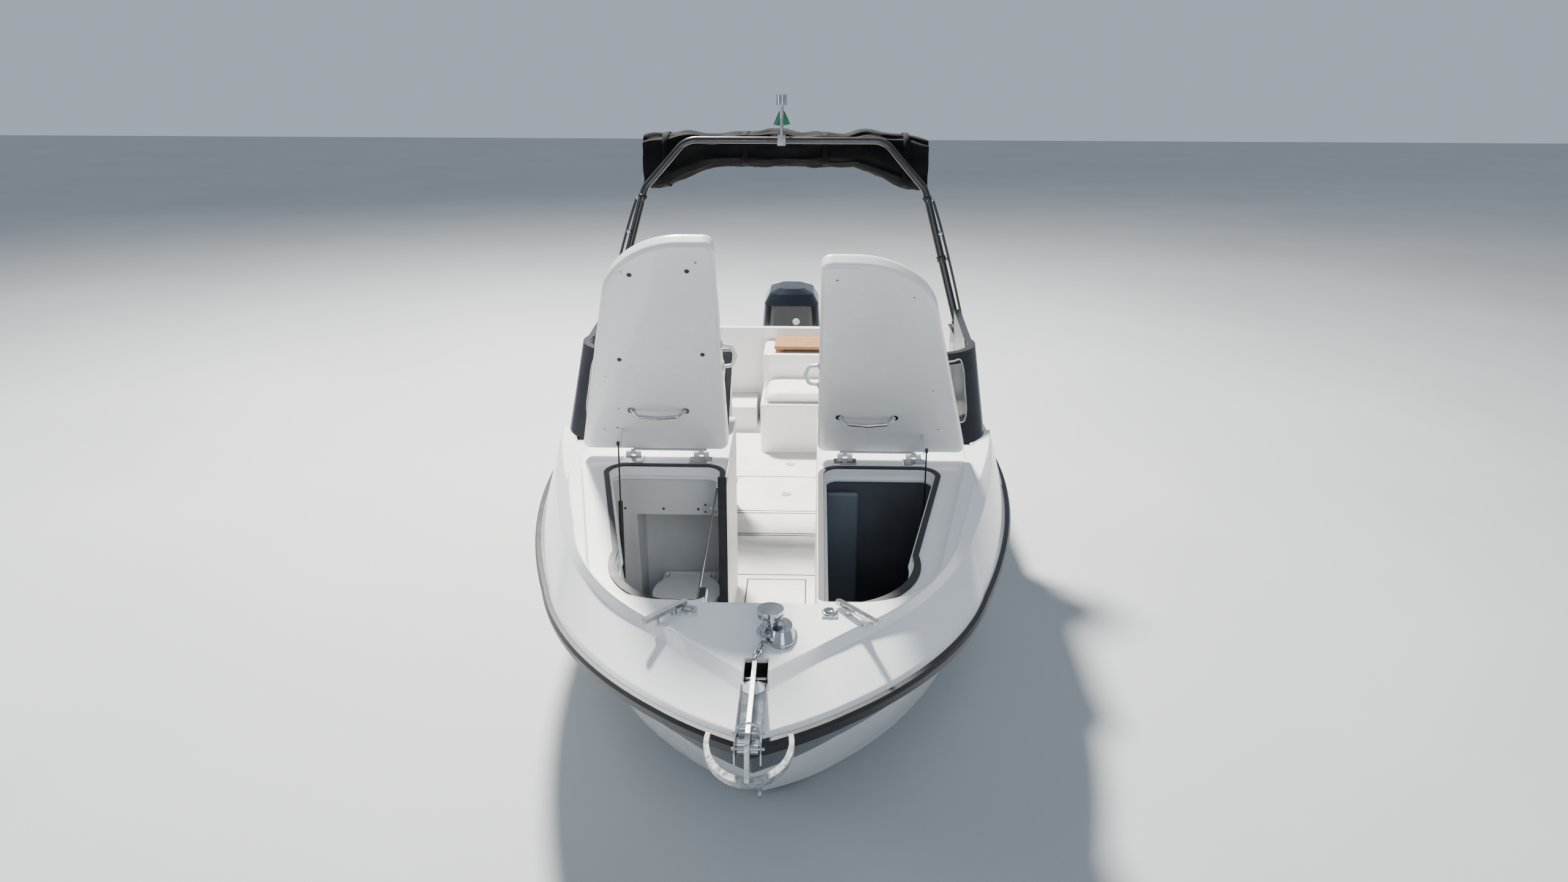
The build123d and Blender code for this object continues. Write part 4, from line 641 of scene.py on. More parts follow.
class BOAT_OT_cushions(bpy.types.Operator):
    """Makes the helm seat's and the aft bench's sewn cushions"""
    bl_idname = "boat.cushions"
    bl_label = "Cushions"

    def execute(self, context):
        crown = context.scene.boat.pad_crown
        for node, channels in (("helm_seat_cushion", 4), ("aft_bench_cushion", 3)):
            low, high = (Vector(corner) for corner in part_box(node))
            name = node.replace("_cushion", "_pad")
            pad = seat_pad(low, high, crown, channels)
            piece = finish_object(name, pad, FINISHES["vinyl"], "hull")
            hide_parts(node)
            welt = piping(low, high, high.z - WELT_DROP - crown)
            finish_object(f"{name}_welt", welt, FINISHES["vinyl"], "hull")
        return {"FINISHED"}


# the gathered canvas: gap to its box, drop of its lower edge, sag of its ends, waves of its top edge as
# depth, rate and start, droop of its lower edge's ends and where it begins, and its points across and around
CANVAS_GAP = 0.012
CANVAS_DROP = 0.235
CANVAS_SAG = 0.028
CANVAS_WAVES = [(0.014, 17.0, 0.0), (0.008, 41.0, 1.0)]
CANVAS_DROOP = 0.170
DROOP_START = 0.42
CANVAS_ACROSS, CANVAS_AROUND = 150, 72
STRAP_SHARES = (0.08, 0.36, 0.64, 0.92)
STRAP_WIDTH = 0.038
STRAP_THICK = 0.003
STRAP_INSET = 0.004


def squared(value):
    """A sine or cosine swelled so that a ring of them has flattened sides."""
    return math.copysign(abs(value) ** 0.62, value)


def canvas_line(share):
    """Middle of the gathered canvas behind the hoop: x and the heights of its top and lower edge."""
    low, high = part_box("folded_bimini")
    away = abs(share * 2 - 1)
    x = (share * 2 - 1) * (high[0] - low[0]) / 2
    waves = sum(depth * math.sin(share * rate + start) for depth, rate, start in CANVAS_WAVES)
    top = high[2] - CANVAS_GAP - CANVAS_SAG * away ** 3 + waves
    droop = max(0.0, (away - DROOP_START) / (1 - DROOP_START))
    bottom = high[2] - CANVAS_DROP - CANVAS_DROOP * (1 - math.cos(math.pi * min(1.0, droop))) / 2
    return x, top, bottom


class BOAT_OT_canvas(bpy.types.Operator):
    """Makes the canvas gathered behind the tower's hoop, with its straps"""
    bl_idname = "boat.canvas"
    bl_label = "Folded canvas"

    def execute(self, context):
        fold_depth = context.scene.boat.fold_depth
        low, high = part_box("folded_bimini")
        middle, deep = (low[1] + high[1]) / 2, (high[1] - low[1]) / 2 - CANVAS_GAP
        vertices = []
        for i in range(CANVAS_ACROSS + 1):
            share = i / CANVAS_ACROSS
            x, top, bottom = canvas_line(share)
            depth = deep * (1 - 0.18 * abs(share * 2 - 1) ** 6)
            for j in range(CANVAS_AROUND + 1):
                turn = math.tau * (j / CANVAS_AROUND) - math.pi / 2
                c, s = math.cos(turn), math.sin(turn)
                y = middle + depth * squared(c) * 0.94
                z = (top + bottom) / 2 + (top - bottom) / 2 * squared(s) * 0.94
                fold = math.sin(j * 0.9 + 1.7 * math.sin(share * 9.0) + share * 6.0)
                ripple = noise.noise(Vector((share * 14.0, j * 0.35, 3.1)))
                push = fold_depth * (0.55 * fold + 0.9 * ripple)
                vertices.append(Vector((x, y - push * c, z - push * abs(s) * (1 if s < 0 else 0.7))))
        mesh = mesh_from("canvas", vertices, grid_faces(CANVAS_ACROSS, CANVAS_AROUND))
        for vertex in mesh.vertices:
            for k in range(3):
                vertex.co[k] = max(low[k], min(high[k], vertex.co[k]))
        canvas = finish_object("gathered_canvas", mesh, FINISHES["canvas"], "hull")
        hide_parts("folded_bimini")
        straps = []
        for share in STRAP_SHARES:
            x, top, bottom = canvas_line(share)
            centre = Vector((x, middle, (top + bottom) / 2))
            ring = []
            for step in range(48):
                turn = math.tau * step / 48
                ring.append(centre + Vector((0, (deep - STRAP_INSET) * squared(math.cos(turn)),
                                             ((top - bottom) / 2 - STRAP_INSET) * squared(math.sin(turn)))))
            straps.append(strap_round(ring))
        joined("canvas_straps", straps, FINISHES["canvas"], "hull")
        return {"FINISHED"}


def strap_round(ring):
    """Closed flat band of webbing through a ring of points, its width along X."""
    centre = sum(ring, Vector()) / len(ring)
    half = STRAP_WIDTH / 2
    vertices = []
    for point in ring:
        out = (point - centre).normalized()
        for dx, rise in ((-half, 0), (half, 0), (half, STRAP_THICK), (-half, STRAP_THICK)):
            vertices.append(point + Vector((dx, 0, 0)) + out * rise)
    return mesh_from("strap", vertices, ring_faces(len(ring), 4, True))


# the flag: points across and down, share of its width at the top, folds across it and its gap to its box
FLAG_COLUMNS, FLAG_ROWS = 40, 50
FLAG_TOP_SHARE = 0.10
FLAG_WIDTH_SHARE = 0.92
FLAG_FOLDS = 15.0
FLAG_GAP = 0.008


class BOAT_OT_flag(bpy.types.Operator):
    """Makes the plain flag that hangs furled on the stern light's pole"""
    bl_idname = "boat.flag"
    bl_label = "Furled flag"

    def execute(self, context):
        low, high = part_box("furled_flag")
        wide, tall = high[0] - low[0], high[2] - low[2]
        middle = (low[0] + high[0]) / 2
        vertices = []
        for i in range(FLAG_COLUMNS + 1):
            u = i / FLAG_COLUMNS
            for j in range(FLAG_ROWS + 1):
                v = j / FLAG_ROWS
                share = FLAG_TOP_SHARE + (1 - FLAG_TOP_SHARE) * v ** 0.8
                fold = 0.5 + 0.48 * math.sin(u * FLAG_FOLDS + v * 2.0) * (0.4 + 0.6 * v)
                x = middle + (u - 0.5) * wide * FLAG_WIDTH_SHARE * share
                y = low[1] + FLAG_GAP + (high[1] - low[1] - 0.014) * fold
                vertices.append(Vector((x, y, high[2] - v * tall * (0.94 + 0.05 * math.sin(u * 4)))))
        mesh = mesh_from("flag", vertices, grid_faces(FLAG_COLUMNS, FLAG_ROWS))
        flag = finish_object("hung_flag", mesh, FINISHES["flag"], "hull")
        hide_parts("furled_flag")
        return {"FINISHED"}


# small fittings
HEAD_SIDES = 14
SCREW_SEED = 4


def fitting_tree():
    """Geometry nodes that set a small turned head on each point, facing the point's own way."""
    tree = bpy.data.node_groups.new("fastener heads", "GeometryNodeTree")
    face = tree.interface
    face.new_socket("Geometry", in_out="INPUT", socket_type="NodeSocketGeometry")
    for label, kind, default in (("Head Radius", "Float", 0.0045), ("Head Height", "Float", 0.0028),
                                 ("Top Share", "Float", 0.62), ("Seed", "Int", SCREW_SEED)):
        face.new_socket(label, in_out="INPUT", socket_type=f"NodeSocket{kind}").default_value = default
    face.new_socket("Finish", in_out="INPUT", socket_type="NodeSocketMaterial")
    face.new_socket("Geometry", in_out="OUTPUT", socket_type="NodeSocketGeometry")
    given = tree.nodes.new("NodeGroupInput").outputs
    crown = wired(tree, "ShaderNodeMath", {"operation": "MULTIPLY"})
    for socket, label in zip(crown.inputs, ("Head Radius", "Top Share")):
        tree.links.new(given[label], socket)
    head = wired(tree, "GeometryNodeMeshCone", Vertices=HEAD_SIDES, Radius_Bottom=given["Head Radius"],
                 Radius_Top=crown.outputs["Value"], Depth=given["Head Height"])
    facing = wired(tree, "GeometryNodeInputNamedAttribute", {"data_type": "FLOAT_VECTOR"}, Name="facing")
    align = wired(tree, "FunctionNodeAlignRotationToVector", {"axis": "Z"},
                  Vector=facing.outputs["Attribute"])
    place = wired(tree, "GeometryNodeInstanceOnPoints", Points=given["Geometry"],
                  Instance=head.outputs["Mesh"], Rotation=align.outputs["Rotation"])
    chance = wired(tree, "FunctionNodeRandomValue", {"data_type": "FLOAT_VECTOR"}, Min=(0, 0, 0),
                   Max=(0, 0, 6.283), Seed=given["Seed"])
    spin = wired(tree, "GeometryNodeRotateInstances", Instances=place.outputs["Instances"],
                 Rotation=chance.outputs["Value"])
    realize = wired(tree, "GeometryNodeRealizeInstances", Geometry=spin.outputs["Instances"])
    paint = wired(tree, "GeometryNodeSetMaterial", Geometry=realize.outputs["Geometry"],
                  Material=given["Finish"])
    tree.links.new(paint.outputs["Geometry"], tree.nodes.new("NodeGroupOutput").inputs["Geometry"])
    return tree


def heads(name, spots, radius, height, finish, body, top_share=0.62):
    """One piece of like fastener heads; each spot is a point and the way that it faces."""
    tree = bpy.data.node_groups.get("fastener heads") or fitting_tree()
    mesh = bpy.data.meshes.new(name)
    mesh.from_pydata([tuple(point) for point, facing in spots], [], [])
    layer = mesh.attributes.new("facing", "FLOAT_VECTOR", "POINT")
    for item, (point, facing) in zip(layer.data, spots):
        item.vector = Vector(facing).normalized()
    carrier = bpy.data.objects.new(name, mesh)
    bpy.context.scene.collection.objects.link(carrier)
    modifier = carrier.modifiers.new("heads", "NODES")
    modifier.node_group = tree
    values = {"Head Radius": radius, "Head Height": height, "Top Share": top_share, "Seed": SCREW_SEED,
              "Finish": FINISHES[finish]}
    for item in tree.interface.items_tree:
        if item.in_out == "INPUT" and item.name in values:
            modifier[item.identifier] = values[item.name]
    depsgraph = bpy.context.evaluated_depsgraph_get()
    made = bpy.data.meshes.new_from_object(carrier.evaluated_get(depsgraph))
    carrier.modifiers.clear()
    bpy.data.objects.remove(carrier)
    if "facing" in made.attributes:
        made.attributes.remove(made.attributes["facing"])
    return finish_object(name, made, FINISHES[finish], body, smooth=False)


# lid screws: x and y along the closed lid, larger where True
LID_SCREWS = {
    "starboard": [(-0.586, -2.384, True), (-0.340, -2.407, True), (-0.300, -2.455, False),
                  (-0.621, -2.400, False), (-0.693, -1.869, True), (-0.308, -1.907, True),
                  (-0.775, -1.753, False), (-0.740, -1.528, False), (-0.764, -1.386, False),
                  (-0.830, -1.375, False)],
    "port": [(0.290, -2.470, False), (0.612, -2.370, False), (0.754, -1.735, False), (0.808, -1.426, False)],
}
LINER_LIFT = 0.016
HINGE_XS = (0.362, 0.706)
LEAF_HALF = Vector((0.056, 0.038, 0))
LEAF_THICK = 0.0055
LEAF_Y = -1.245


class BOAT_OT_lid_fittings(bpy.types.Operator):
    """Sets the screws and washers under the lids, and the hinges' leaves and screws on the deck"""
    bl_idname = "boat.lid_fittings"
    bl_label = "Lid screws"

    def execute(self, context):
        radius = context.scene.boat.screw_radius
        up = (on_deck(0, DECK_Y, 1) - on_deck(0, DECK_Y, 0)).normalized()
        for side, name in SIDES:
            opened = open_lid(name)
            facing = opened.to_3x3() @ -up
            small, large = [], []
            for x, y, big in LID_SCREWS[name]:
                (large if big else small).append((opened @ on_deck(x, y, LINER_LIFT), facing))
            heads(f"{name}_lid_screws", small, radius, 0.003, "steel", f"{name}_lid")
            if large:
                heads(f"{name}_lid_washers", large, radius * 1.8, 0.004, "black plastic", f"{name}_lid",
                      0.8)
            spots = [(on_deck(side * x + dx, DECK_Y, 0.004), up) for x in HINGE_XS
                     for dx in (-0.044, 0.0, 0.044)]
            heads(f"{name}_hinge_screws", spots, radius, 0.0015, "steel", "hull", 0.85)
            leaves = []
            for x in HINGE_XS:
                middle = Vector((side * x, LEAF_Y, 0))
                leaf = block(middle - LEAF_HALF, middle + LEAF_HALF + Vector((0, 0, LEAF_THICK)), 0.002, 2)
                leaf.transform(deck_matrix())
                leaves.append(leaf)
            joined(f"{name}_hinge_leaves", leaves, FINISHES["steel"], "hull", smooth=False)
        return {"FINISHED"}


def deck_matrix():
    """Matrix from flat x, y and lift to the foredeck plane."""
    return Matrix.Translation(on_deck(0, 0, 0)) @ Matrix.Rotation(DECK_TURN, 4, "X")


FILLER_X = 0.270
FILLER_Y = -2.645
FILLER_LIFT = 0.058
FILLER_PROFILE = [(0.030, -0.004), (0.030, 0.003), (0.026, 0.006), (0.018, 0.006), (0.017, 0.003),
                  (0.004, 0.003)]
CHAIN_START = Vector((0.044, -2.812, 1.252))
CHAIN_SAG = 0.012
LINK_RADIUS = 0.011
LINK_STRETCH = 0.009
LINK_WIRE = 0.004


def chain_link(place, along, tip):
    """One oval link at a place, its length along a direction and its plane tipped about it."""
    matrix = Matrix.Translation(place) @ along.to_track_quat("Y", "Z").to_matrix().to_4x4() \
        @ Matrix.Rotation(tip, 4, "Y")
    ring = []
    for step in range(20):
        turn = math.tau * step / 20
        stretch = LINK_STRETCH * math.copysign(min(1.0, abs(math.sin(turn)) * 3), math.sin(turn))
        across, along = LINK_RADIUS * math.cos(turn), LINK_RADIUS * math.sin(turn)
        ring.append(matrix @ Vector((across, along + stretch, 0)))
    return tube_along(ring, LINK_WIRE, 8, True)


class BOAT_OT_bow_fittings(bpy.types.Operator):
    """Makes the deck fillers and the chain between windlass and anchor"""
    bl_idname = "boat.bow_fittings"
    bl_label = "Bow fittings"

    def execute(self, context):
        up = deck_matrix().to_3x3() @ Vector((0, 0, 1))
        caps = [turned(FILLER_PROFILE, on_deck(side * FILLER_X, FILLER_Y, FILLER_LIFT), up, 40)
                for side, name in SIDES]
        joined("deck_fillers", caps, FINISHES["steel"], "hull")
        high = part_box("anchor")[1]
        end = Vector((0.0, high[1] - 0.004, high[2] + 0.004))
        reach = end - CHAIN_START
        count = max(3, round(reach.length / context.scene.boat.chain_pitch))
        links = []
        for i in range(count + 1):
            share = i / count
            place = CHAIN_START.lerp(end, share) + Vector((0, 0, -CHAIN_SAG * math.sin(math.pi * share)))
            links.append(chain_link(place, reach.normalized(), math.radians(90 if i % 2 else 0)))
        joined("anchor_chain", links, FINISHES["steel"], "hull")
        return {"FINISHED"}


# outer face of a windscreen: height of its foot, rise and rake, and its x and y round the foot
SCREEN_FOOT = 1.040
SCREEN_RISE = 0.680
SCREEN_RAKE = 0.748
SCREEN_TUMBLE = 0.05
SCREEN_FRONT = [(0.246, -1.306), (0.530, -1.324), (0.810, -1.342), (0.945, -1.322), (1.045, -1.246),
                (1.108, -1.130)]
SCREEN_CORNER = (1.140, -0.986)
SCREEN_AFT = (1.174, 0.540)
# the pane in it, and the pale line at its foot
PANE_X = (0.284, 0.300, 1.000, 1.016)
PANE_Z = (1.428, 1.470, 1.640, 1.684)
PANE_STEP = (0.035, 0.055)
PIPE_LIFT = 0.003
FOOT_LINE_Z = 1.247


def screen_line(height):
    """Outer face of a windscreen at a height, as x and y from its inner edge round to its aft end."""
    rake = SCREEN_RAKE * (height - SCREEN_FOOT) / SCREEN_RISE
    lean = rake * SCREEN_TUMBLE
    line = [(x, y + rake) for x, y in SCREEN_FRONT]
    return line + [(SCREEN_CORNER[0] - lean, SCREEN_CORNER[1] + rake), (SCREEN_AFT[0] - lean, SCREEN_AFT[1])]


def screen_point(x, height):
    """Point just ahead of the starboard windscreen's front at x."""
    line = screen_line(height)
    for (x0, y0), (x1, y1) in zip(line, line[1:]):
        if x0 <= x <= x1:
            y = y0 + (y1 - y0) * (x - x0) / (x1 - x0)
            return Vector((-x, y - PIPE_LIFT, height + PIPE_LIFT * 0.7))
    raise RuntimeError(f"the windscreen has no point at {x}")


class BOAT_OT_screen_trim(bpy.types.Operator):
    """Makes the piping round the windscreens' panes and the pale line along their feet"""
    bl_idname = "boat.screen_trim"
    bl_label = "Windscreen trim"

    def execute(self, context):
        inner, start, end, outer = PANE_X
        low, first, last, high = PANE_Z
        across, rise = PANE_STEP
        loop = [(start + across * i, low) for i in range(21)]
        loop += [(outer, first + rise * i) for i in range(4)]
        loop += [(end - across * i, high) for i in range(21)]
        loop += [(inner, last - rise * i) for i in range(4)]
        foot = [Vector((-x - 0.002, y - 0.002, FOOT_LINE_Z)) for x, y in screen_line(FOOT_LINE_Z)[2:]]
        for side, name in SIDES:
            round_pane = smooth_line([screen_point(*spot) for spot in loop], 3, True)
            pieces = [tube_along(round_pane, 0.005, 10, True), tube_along(smooth_line(foot, 6), 0.0035, 8)]
            if side > 0:
                for mesh in pieces:
                    mesh.transform(Matrix.Scale(-1, 4, (1, 0, 0)))
                    mesh.flip_normals()
            joined(f"{name}_screen_trim", pieces, FINISHES["trim"], "hull")
        return {"FINISHED"}


# the slot in the deck under the anchor's shank, lined with painted shade, the bar across it and half of the
# roller's bail
SLOT_LOW = Vector((-0.0355, -3.0415, 1.1542))
SLOT_HIGH = Vector((0.0475, -2.9285, 1.190))
SLOT_BAR = (0.006, -3.018, 1.176)
BAR_PROFILE = [(0.007, -0.040), (0.008, -0.038), (0.008, 0.038), (0.007, 0.040)]
BAIL_HALF = [(0.041, -3.400, 1.178), (0.040, -3.396, 1.205), (0.026, -3.390, 1.236)]
BAIL_TOP = (0.0, -3.387, 1.246)


class BOAT_OT_bow_trim(bpy.types.Operator):
    """Lines the deck slot under the anchor's shank with painted shade and sets the roller's bail over it"""
    bl_idname = "boat.bow_trim"
    bl_label = "Bow trim"

    def execute(self, context):
        low, high, thin = SLOT_LOW, SLOT_HIGH, 0.0015
        sides = [(low, (high.x, high.y, low.z + thin)), (low, (low.x + thin, high.y, high.z)),
                 ((high.x - thin, low.y, low.z), high), (low, (high.x, low.y + thin, high.z)),
                 ((low.x, high.y - thin, low.z), high)]
        # painted shade: thin near-black sheets on the slot's floor and walls
        lining = [block(near, far, 0) for near, far in sides]
        joined("slot_painted_shade", lining, FINISHES["slot shade and dial black"], "hull", smooth=False)
        bar = turned(BAR_PROFILE, SLOT_BAR, (1, 0, 0))
        arch = [(-x, y, z) for x, y, z in BAIL_HALF] + [BAIL_TOP] + BAIL_HALF[::-1]
        bail = tube_along(smooth_line(arch, 8), 0.0045, 12)
        joined("roller_bail", [bar, bail], FINISHES["steel"], "hull")
        return {"FINISHED"}


# the starboard locker's aft wall with its screws and latch, and the port locker's standing panel
WALL_Y = -1.2912
WALL_SCREWS = [(x, 1.086) for x in (-0.745, -0.550, -0.375)]
LATCH_SCREWS = [(x, z) for x in (-0.338, -0.285) for z in (1.074, 1.112)]
LATCH_PLATE = ((-0.348, WALL_Y - 0.004, 1.066), (-0.274, WALL_Y + 0.004, 1.121))
LATCH_BOLT = ((-0.318, WALL_Y - 0.014, 1.084), (-0.266, WALL_Y - 0.003, 1.100))
PORT_PANEL = ((0.266, -1.372, 0.400), (0.428, -1.338, 1.215))


class BOAT_OT_locker_fittings(bpy.types.Operator):
    """Makes the starboard locker's screws and latch plate and the port locker's standing panel"""
    bl_idname = "boat.locker_fittings"
    bl_label = "Locker fittings"

    def execute(self, context):
        spots = [((x, WALL_Y, z), (0, -1, 0)) for x, z in WALL_SCREWS]
        spots += [((x, WALL_Y - 0.003, z), (0, -1, 0)) for x, z in LATCH_SCREWS]
        heads("locker_screws", spots, 0.0065, 0.003, "black plastic", "hull")
        latch = [block(*LATCH_PLATE, 0.001, 2), block(*LATCH_BOLT, 0.003, 2)]
        joined("locker_latch", latch, FINISHES["brushed"], "hull", smooth=False)
        panel = block(*PORT_PANEL, 0.012, 4)
        joined("port_locker_panel", [panel], FINISHES["locker panel"], "hull")
        return {"FINISHED"}


# the tower's port front leg, from its foot to the knuckle under the hoop
LEG_FOOT = Vector((1.148, 0.620, 1.545))
LEG_TOP = Vector((0.905, 0.815, 2.440))
COLLAR_PROFILE = [(0.0272, -0.020), (0.0300, -0.017), (0.0300, 0.017), (0.0272, 0.020)]
STUD_PROFILE = [(0.010, 0.0), (0.012, 0.004), (0.012, 0.010), (0.007, 0.015)]
BALL_PROFILE = [(0.006, -0.016), (0.013, -0.010), (0.017, 0.0), (0.013, 0.010), (0.006, 0.016)]
# the stay: share of the leg, distance outboard and ahead
STAY = [(0.10, 0.040, 0.018), (0.40, 0.046, 0.020), (0.74, 0.044, 0.016), (0.94, 0.034, 0.012)]


def on_leg(side, share, out=0.0, ahead=0.0):
    """Point on one side's front leg, moved outboard and ahead."""
    point = LEG_FOOT.lerp(LEG_TOP, share)
    return Vector((side * (point.x + out), point.y - ahead, point.z))


class BOAT_OT_tower_fittings(bpy.types.Operator):
    """Makes the tower's knuckle balls, clamps and bolts and the canvas frame's stays"""
    bl_idname = "boat.tower_fittings"
    bl_label = "Tower fittings"

    def execute(self, context):
        bright, dark = [], []
        for side, name in SIDES:
            along = on_leg(side, 1) - on_leg(side, 0)
            for share in (0.07, 0.52, 0.93):
                dark.append(turned(COLLAR_PROFILE, on_leg(side, share), along))
                bright.append(turned(STUD_PROFILE, on_leg(side, share, 0.026, 0.010), (side, -0.35, 0), 20))
            bright.append(turned(BALL_PROFILE, on_leg(side, 0.70, 0.030, 0.020), sides=24))
            dark.append(tube_along(smooth_line([on_leg(side, *spot) for spot in STAY], 8), 0.008, 12))
        joined("tower_clamps", dark, FINISHES["powder coat"], "hull")
        joined("tower_studs", bright, FINISHES["steel"], "hull")
        return {"FINISHED"}


SOLE_Z = 0.350
# hatches in the sole: fore edge, aft edge and half width
SOLE_HATCHES = [(-1.80, -1.22, 0.17), (-1.18, -0.60, 0.17), (-0.54, 0.02, 0.34), (0.05, 0.38, 0.34),
                (0.42, 1.05, 0.34)]
SOLE_CAPS = [(0.036, 1.314), (0.022, 0.720)]
CAP_PROFILE = [(0.036, 0.0), (0.036, 0.003), (0.031, 0.0045), (0.029, 0.003), (0.004, 0.003)]
DISC_X, DISC_Z = 0.044, 0.996
DISC_PROFILE = [(0.030, 0.0), (0.034, 0.003), (0.030, 0.006), (0.026, 0.004)]
DIAL_XS = (-0.735, -0.610, -0.485)
DIAL_LEAN = (0, 0.80, 0.60)
RIM_PROFILE = [(0.048, 0.0), (0.050, 0.010), (0.045, 0.014), (0.041, 0.010)]
FACE_PROFILE = [(0.041, 0.0), (0.041, 0.009)]


class BOAT_OT_cockpit_fittings(bpy.types.Operator):
    """Makes the seams of the sole's hatches, the sole's caps, the cowl's blank disc and the dials"""
    bl_idname = "boat.cockpit_fittings"
    bl_label = "Cockpit fittings"

    def execute(self, context):
        seams = []
        for fore, aft, half in SOLE_HATCHES:
            z = SOLE_Z + 0.001
            corners = [(-half, fore, z), (half, fore, z), (half, aft, z), (-half, aft, z)]
            seams.append(tube_along(corners, 0.0022, 8, True, 0.004))
        joined("sole_hatch_seams", seams, FINISHES["seal"], "hull")
        caps = [turned(CAP_PROFILE, (x, y, SOLE_Z), sides=36) for x, y in SOLE_CAPS]
        joined("sole_caps", caps, FINISHES["trim"], "hull")
        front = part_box("motor_cowl")[0][1]
        disc = turned(DISC_PROFILE, (DISC_X, front + 0.004, DISC_Z), (0, -1, 0), 36)
        joined("cowl_disc", [disc], FINISHES["steel"], "outboard")
        low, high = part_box("helm_dash")
        places = [(x, low[1] + 0.155, high[2] - 0.148) for x in DIAL_XS]
        for name, profile, finish, slot in (("dial_faces", FACE_PROFILE, "slot shade and dial black", "black_trim"),
                                            ("dial_rims", RIM_PROFILE, "steel", "stainless")):
            rings = [turned(profile, place, DIAL_LEAN, 36) for place in places]
            joined(name, rings, FINISHES[finish], "hull")
        return {"FINISHED"}


# stage
FLOOR_HALF = 40.0
SKY_COLOUR = (0.74, 0.85, 1.0)
# studio lights: name, place, point that it faces, width, share of the sun's and of the fill's power, colour
LIGHTS = [
    ("overhead sun panel", (-2.6, 5.5, 11.0), (0, -0.8, 0.6), 1.4, 1.0, 0.0, (1.0, 0.96, 0.90)),
    ("bow fill panel", (2.5, -10.0, 5.0), (0, -1.0, 0.8), 6.0, 0.0, 1.0, (0.80, 0.90, 1.0)),
    ("starboard rim panel", (-9.0, -2.0, 4.0), (0, 0, 0.8), 4.0, 0.0, 0.6, (0.9, 0.95, 1.0)),
]


def camera_matrix(boat):
    """Matrix of the camera at the photograph's viewpoint."""
    yaw, pitch, roll = boat.yaw, boat.pitch, boat.roll
    ahead = Vector((math.sin(yaw) * math.cos(pitch), math.cos(yaw) * math.cos(pitch), -math.sin(pitch)))
    right = Vector((math.cos(yaw), -math.sin(yaw), 0))
    up = right.cross(ahead)
    level, rise = math.cos(roll), math.sin(roll)
    matrix = Matrix((right * level + up * rise, up * level - right * rise, -ahead)).transposed().to_4x4()
    matrix.translation = Vector(boat.viewpoint)
    return matrix


class BOAT_OT_stage(bpy.types.Operator):
    """Sets the camera at the photograph's viewpoint, the floor at the waterline and soft studio lights"""
    bl_idname = "boat.stage"
    bl_label = "Stage"

    def execute(self, context):
        boat, scene = context.scene.boat, context.scene
        data = bpy.data.cameras.new("viewpoint")
        data.sensor_width = 36.0
        data.lens = boat.lens
        data.clip_end = 200
        camera = bpy.data.objects.new("viewpoint", data)
        scene.collection.objects.link(camera)
        camera.matrix_world = camera_matrix(boat)
        scene.camera = camera

        floor = bpy.data.meshes.new("floor")
        corners = [(x * FLOOR_HALF, y * FLOOR_HALF, 0) for x, y in ((-1, -1), (1, -1), (1, 1), (-1, 1))]
        floor.from_pydata(corners, [], [(0, 1, 2, 3)])
        ground = bpy.data.objects.new("studio_floor", floor)
        scene.collection.objects.link(ground)
        floor.materials.append(FINISHES["floor"])

        world = bpy.data.worlds.new("studio") if scene.world is None else scene.world
        scene.world = world
        world.use_nodes = True
        sky = world.node_tree.nodes["Background"]
        sky.inputs["Color"].default_value = (*SKY_COLOUR, 1)
        sky.inputs["Strength"].default_value = boat.sky_strength
        for label, spot, aim, size, sun_share, fill_share, tint in LIGHTS:
            lamp = bpy.data.lights.new(label, "AREA")
            lamp.shape = "DISK"
            lamp.size = size
            lamp.energy = boat.sun_power * sun_share + boat.fill_power * fill_share
            lamp.color = tint
            light = bpy.data.objects.new(label, lamp)
            scene.collection.objects.link(light)
            light.location = spot
            light.rotation_euler = (Vector(aim) - Vector(spot)).to_track_quat("-Z", "Y").to_euler()
        return {"FINISHED"}


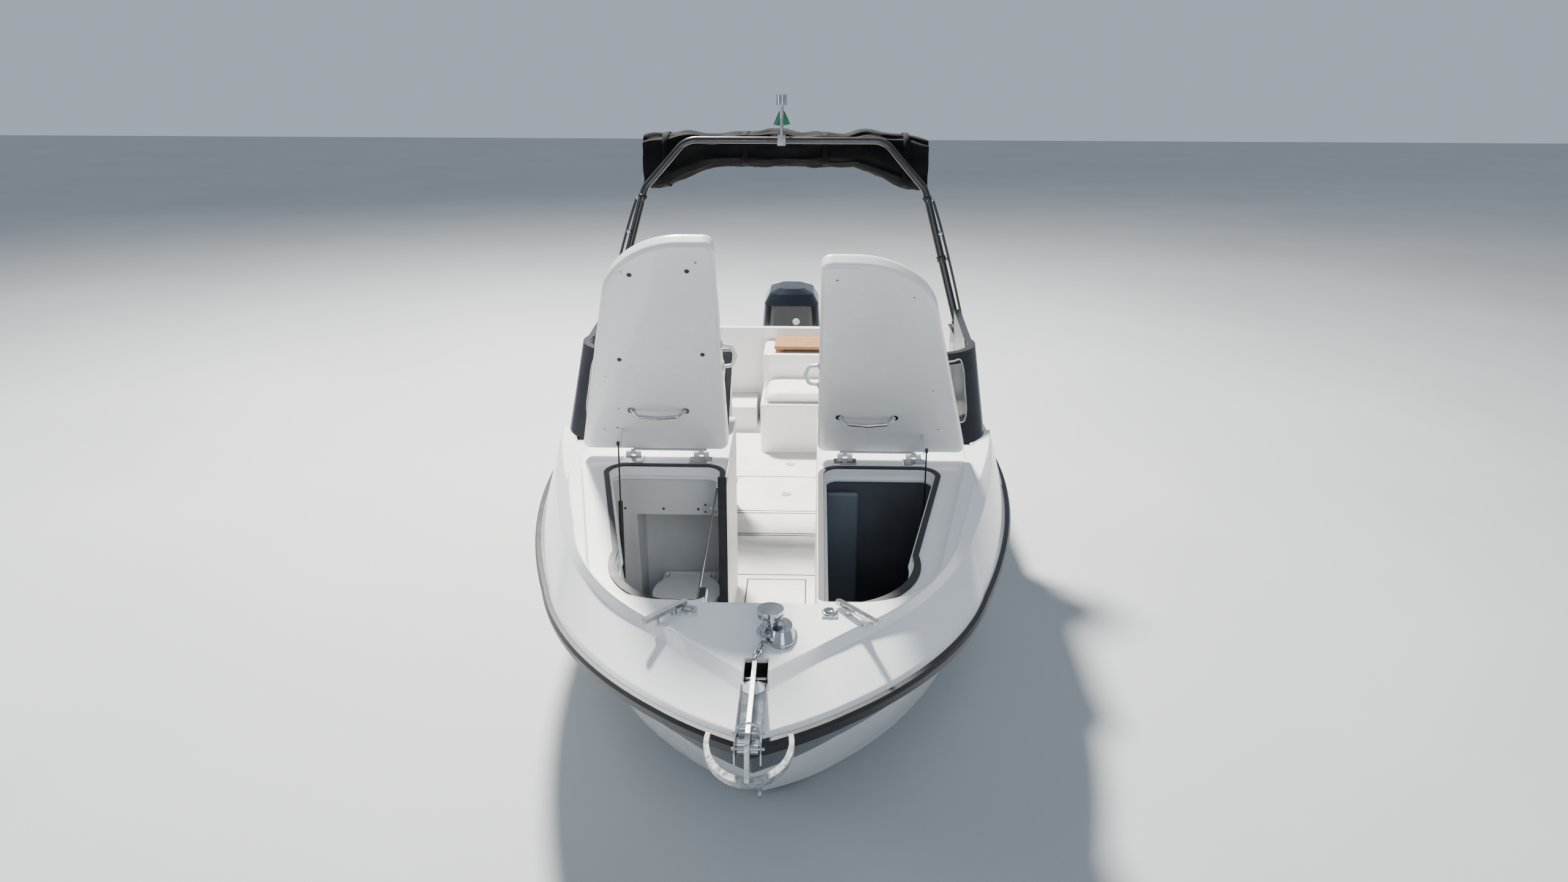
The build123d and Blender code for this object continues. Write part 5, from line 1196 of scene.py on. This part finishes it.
class BoatSizes(bpy.types.PropertyGroup):
    """Sizes and powers that a user would change"""
    viewpoint: FloatVectorProperty(name="Viewpoint", description="Where the camera stands",
                                   default=(0.19, -6.35, 3.25), subtype="TRANSLATION", unit="LENGTH")
    yaw: FloatProperty(name="Yaw", description="How far the camera turns to port of straight astern",
                       default=math.radians(-1.5), subtype="ANGLE", unit="ROTATION")
    pitch: FloatProperty(name="Pitch", description="How far the camera looks down",
                         default=math.radians(19.5), subtype="ANGLE", unit="ROTATION")
    roll: FloatProperty(name="Roll", description="How far the camera leans", default=math.radians(0.2),
                        subtype="ANGLE", unit="ROTATION")
    lens: FloatProperty(name="Lens", description="Focal length in millimetres on a 36 mm wide sensor",
                        default=24.99, min=10, max=200)
    sun_power: FloatProperty(name="Sun panel", description="Power of the overhead panel", default=7000,
                             unit="POWER")
    fill_power: FloatProperty(name="Fill panels", description="Power of the fill panels", default=200,
                              unit="POWER")
    sky_strength: FloatProperty(name="Sky", description="Brightness of the even light", default=0.55, min=0)
    pad_crown: FloatProperty(name="Pad crown", description="How far the cushions' middles stand proud",
                             default=0.020, min=0, subtype="DISTANCE", unit="LENGTH")
    fold_depth: FloatProperty(name="Fold depth", description="Depth of the folded canvas's pleats",
                              default=0.020, min=0, subtype="DISTANCE", unit="LENGTH")
    screw_radius: FloatProperty(name="Screw radius", description="Radius of the screw heads",
                                default=0.0062, min=0, subtype="DISTANCE", unit="LENGTH")
    chain_pitch: FloatProperty(name="Chain pitch", description="Distance between the chain's links",
                               default=0.030, min=0.01, subtype="DISTANCE", unit="LENGTH")


OPERATORS = [BOAT_OT_finishes, BOAT_OT_stage, BOAT_OT_canvas, BOAT_OT_flag, BOAT_OT_cushions,
             BOAT_OT_lid_fittings, BOAT_OT_bow_fittings, BOAT_OT_screen_trim, BOAT_OT_bow_trim,
             BOAT_OT_locker_fittings, BOAT_OT_tower_fittings, BOAT_OT_cockpit_fittings]


class BOAT_PT_panel(bpy.types.Panel):
    """Lists the boat's operators"""
    bl_idname = "BOAT_PT_panel"
    bl_label = "Boat"
    bl_space_type = "VIEW_3D"
    bl_region_type = "UI"
    bl_category = "Boat"

    def draw(self, context):
        for operator in OPERATORS:
            self.layout.operator(operator.bl_idname)
        for name in BoatSizes.__annotations__:
            self.layout.prop(context.scene.boat, name)


CLASSES = [BoatSizes, *OPERATORS, BOAT_PT_panel]


def register():
    """Adds the classes and the scene's boat sizes."""
    for item in CLASSES:
        bpy.utils.register_class(item)
    bpy.types.Scene.boat = PointerProperty(type=BoatSizes)


def unregister():
    """Takes them away again."""
    del bpy.types.Scene.boat
    for item in reversed(CLASSES):
        bpy.utils.unregister_class(item)


def main():
    register()
    for operator in OPERATORS:
        group, name = operator.bl_idname.split(".")
        getattr(getattr(bpy.ops, group), name)()


if __name__ == "__main__":
    main()
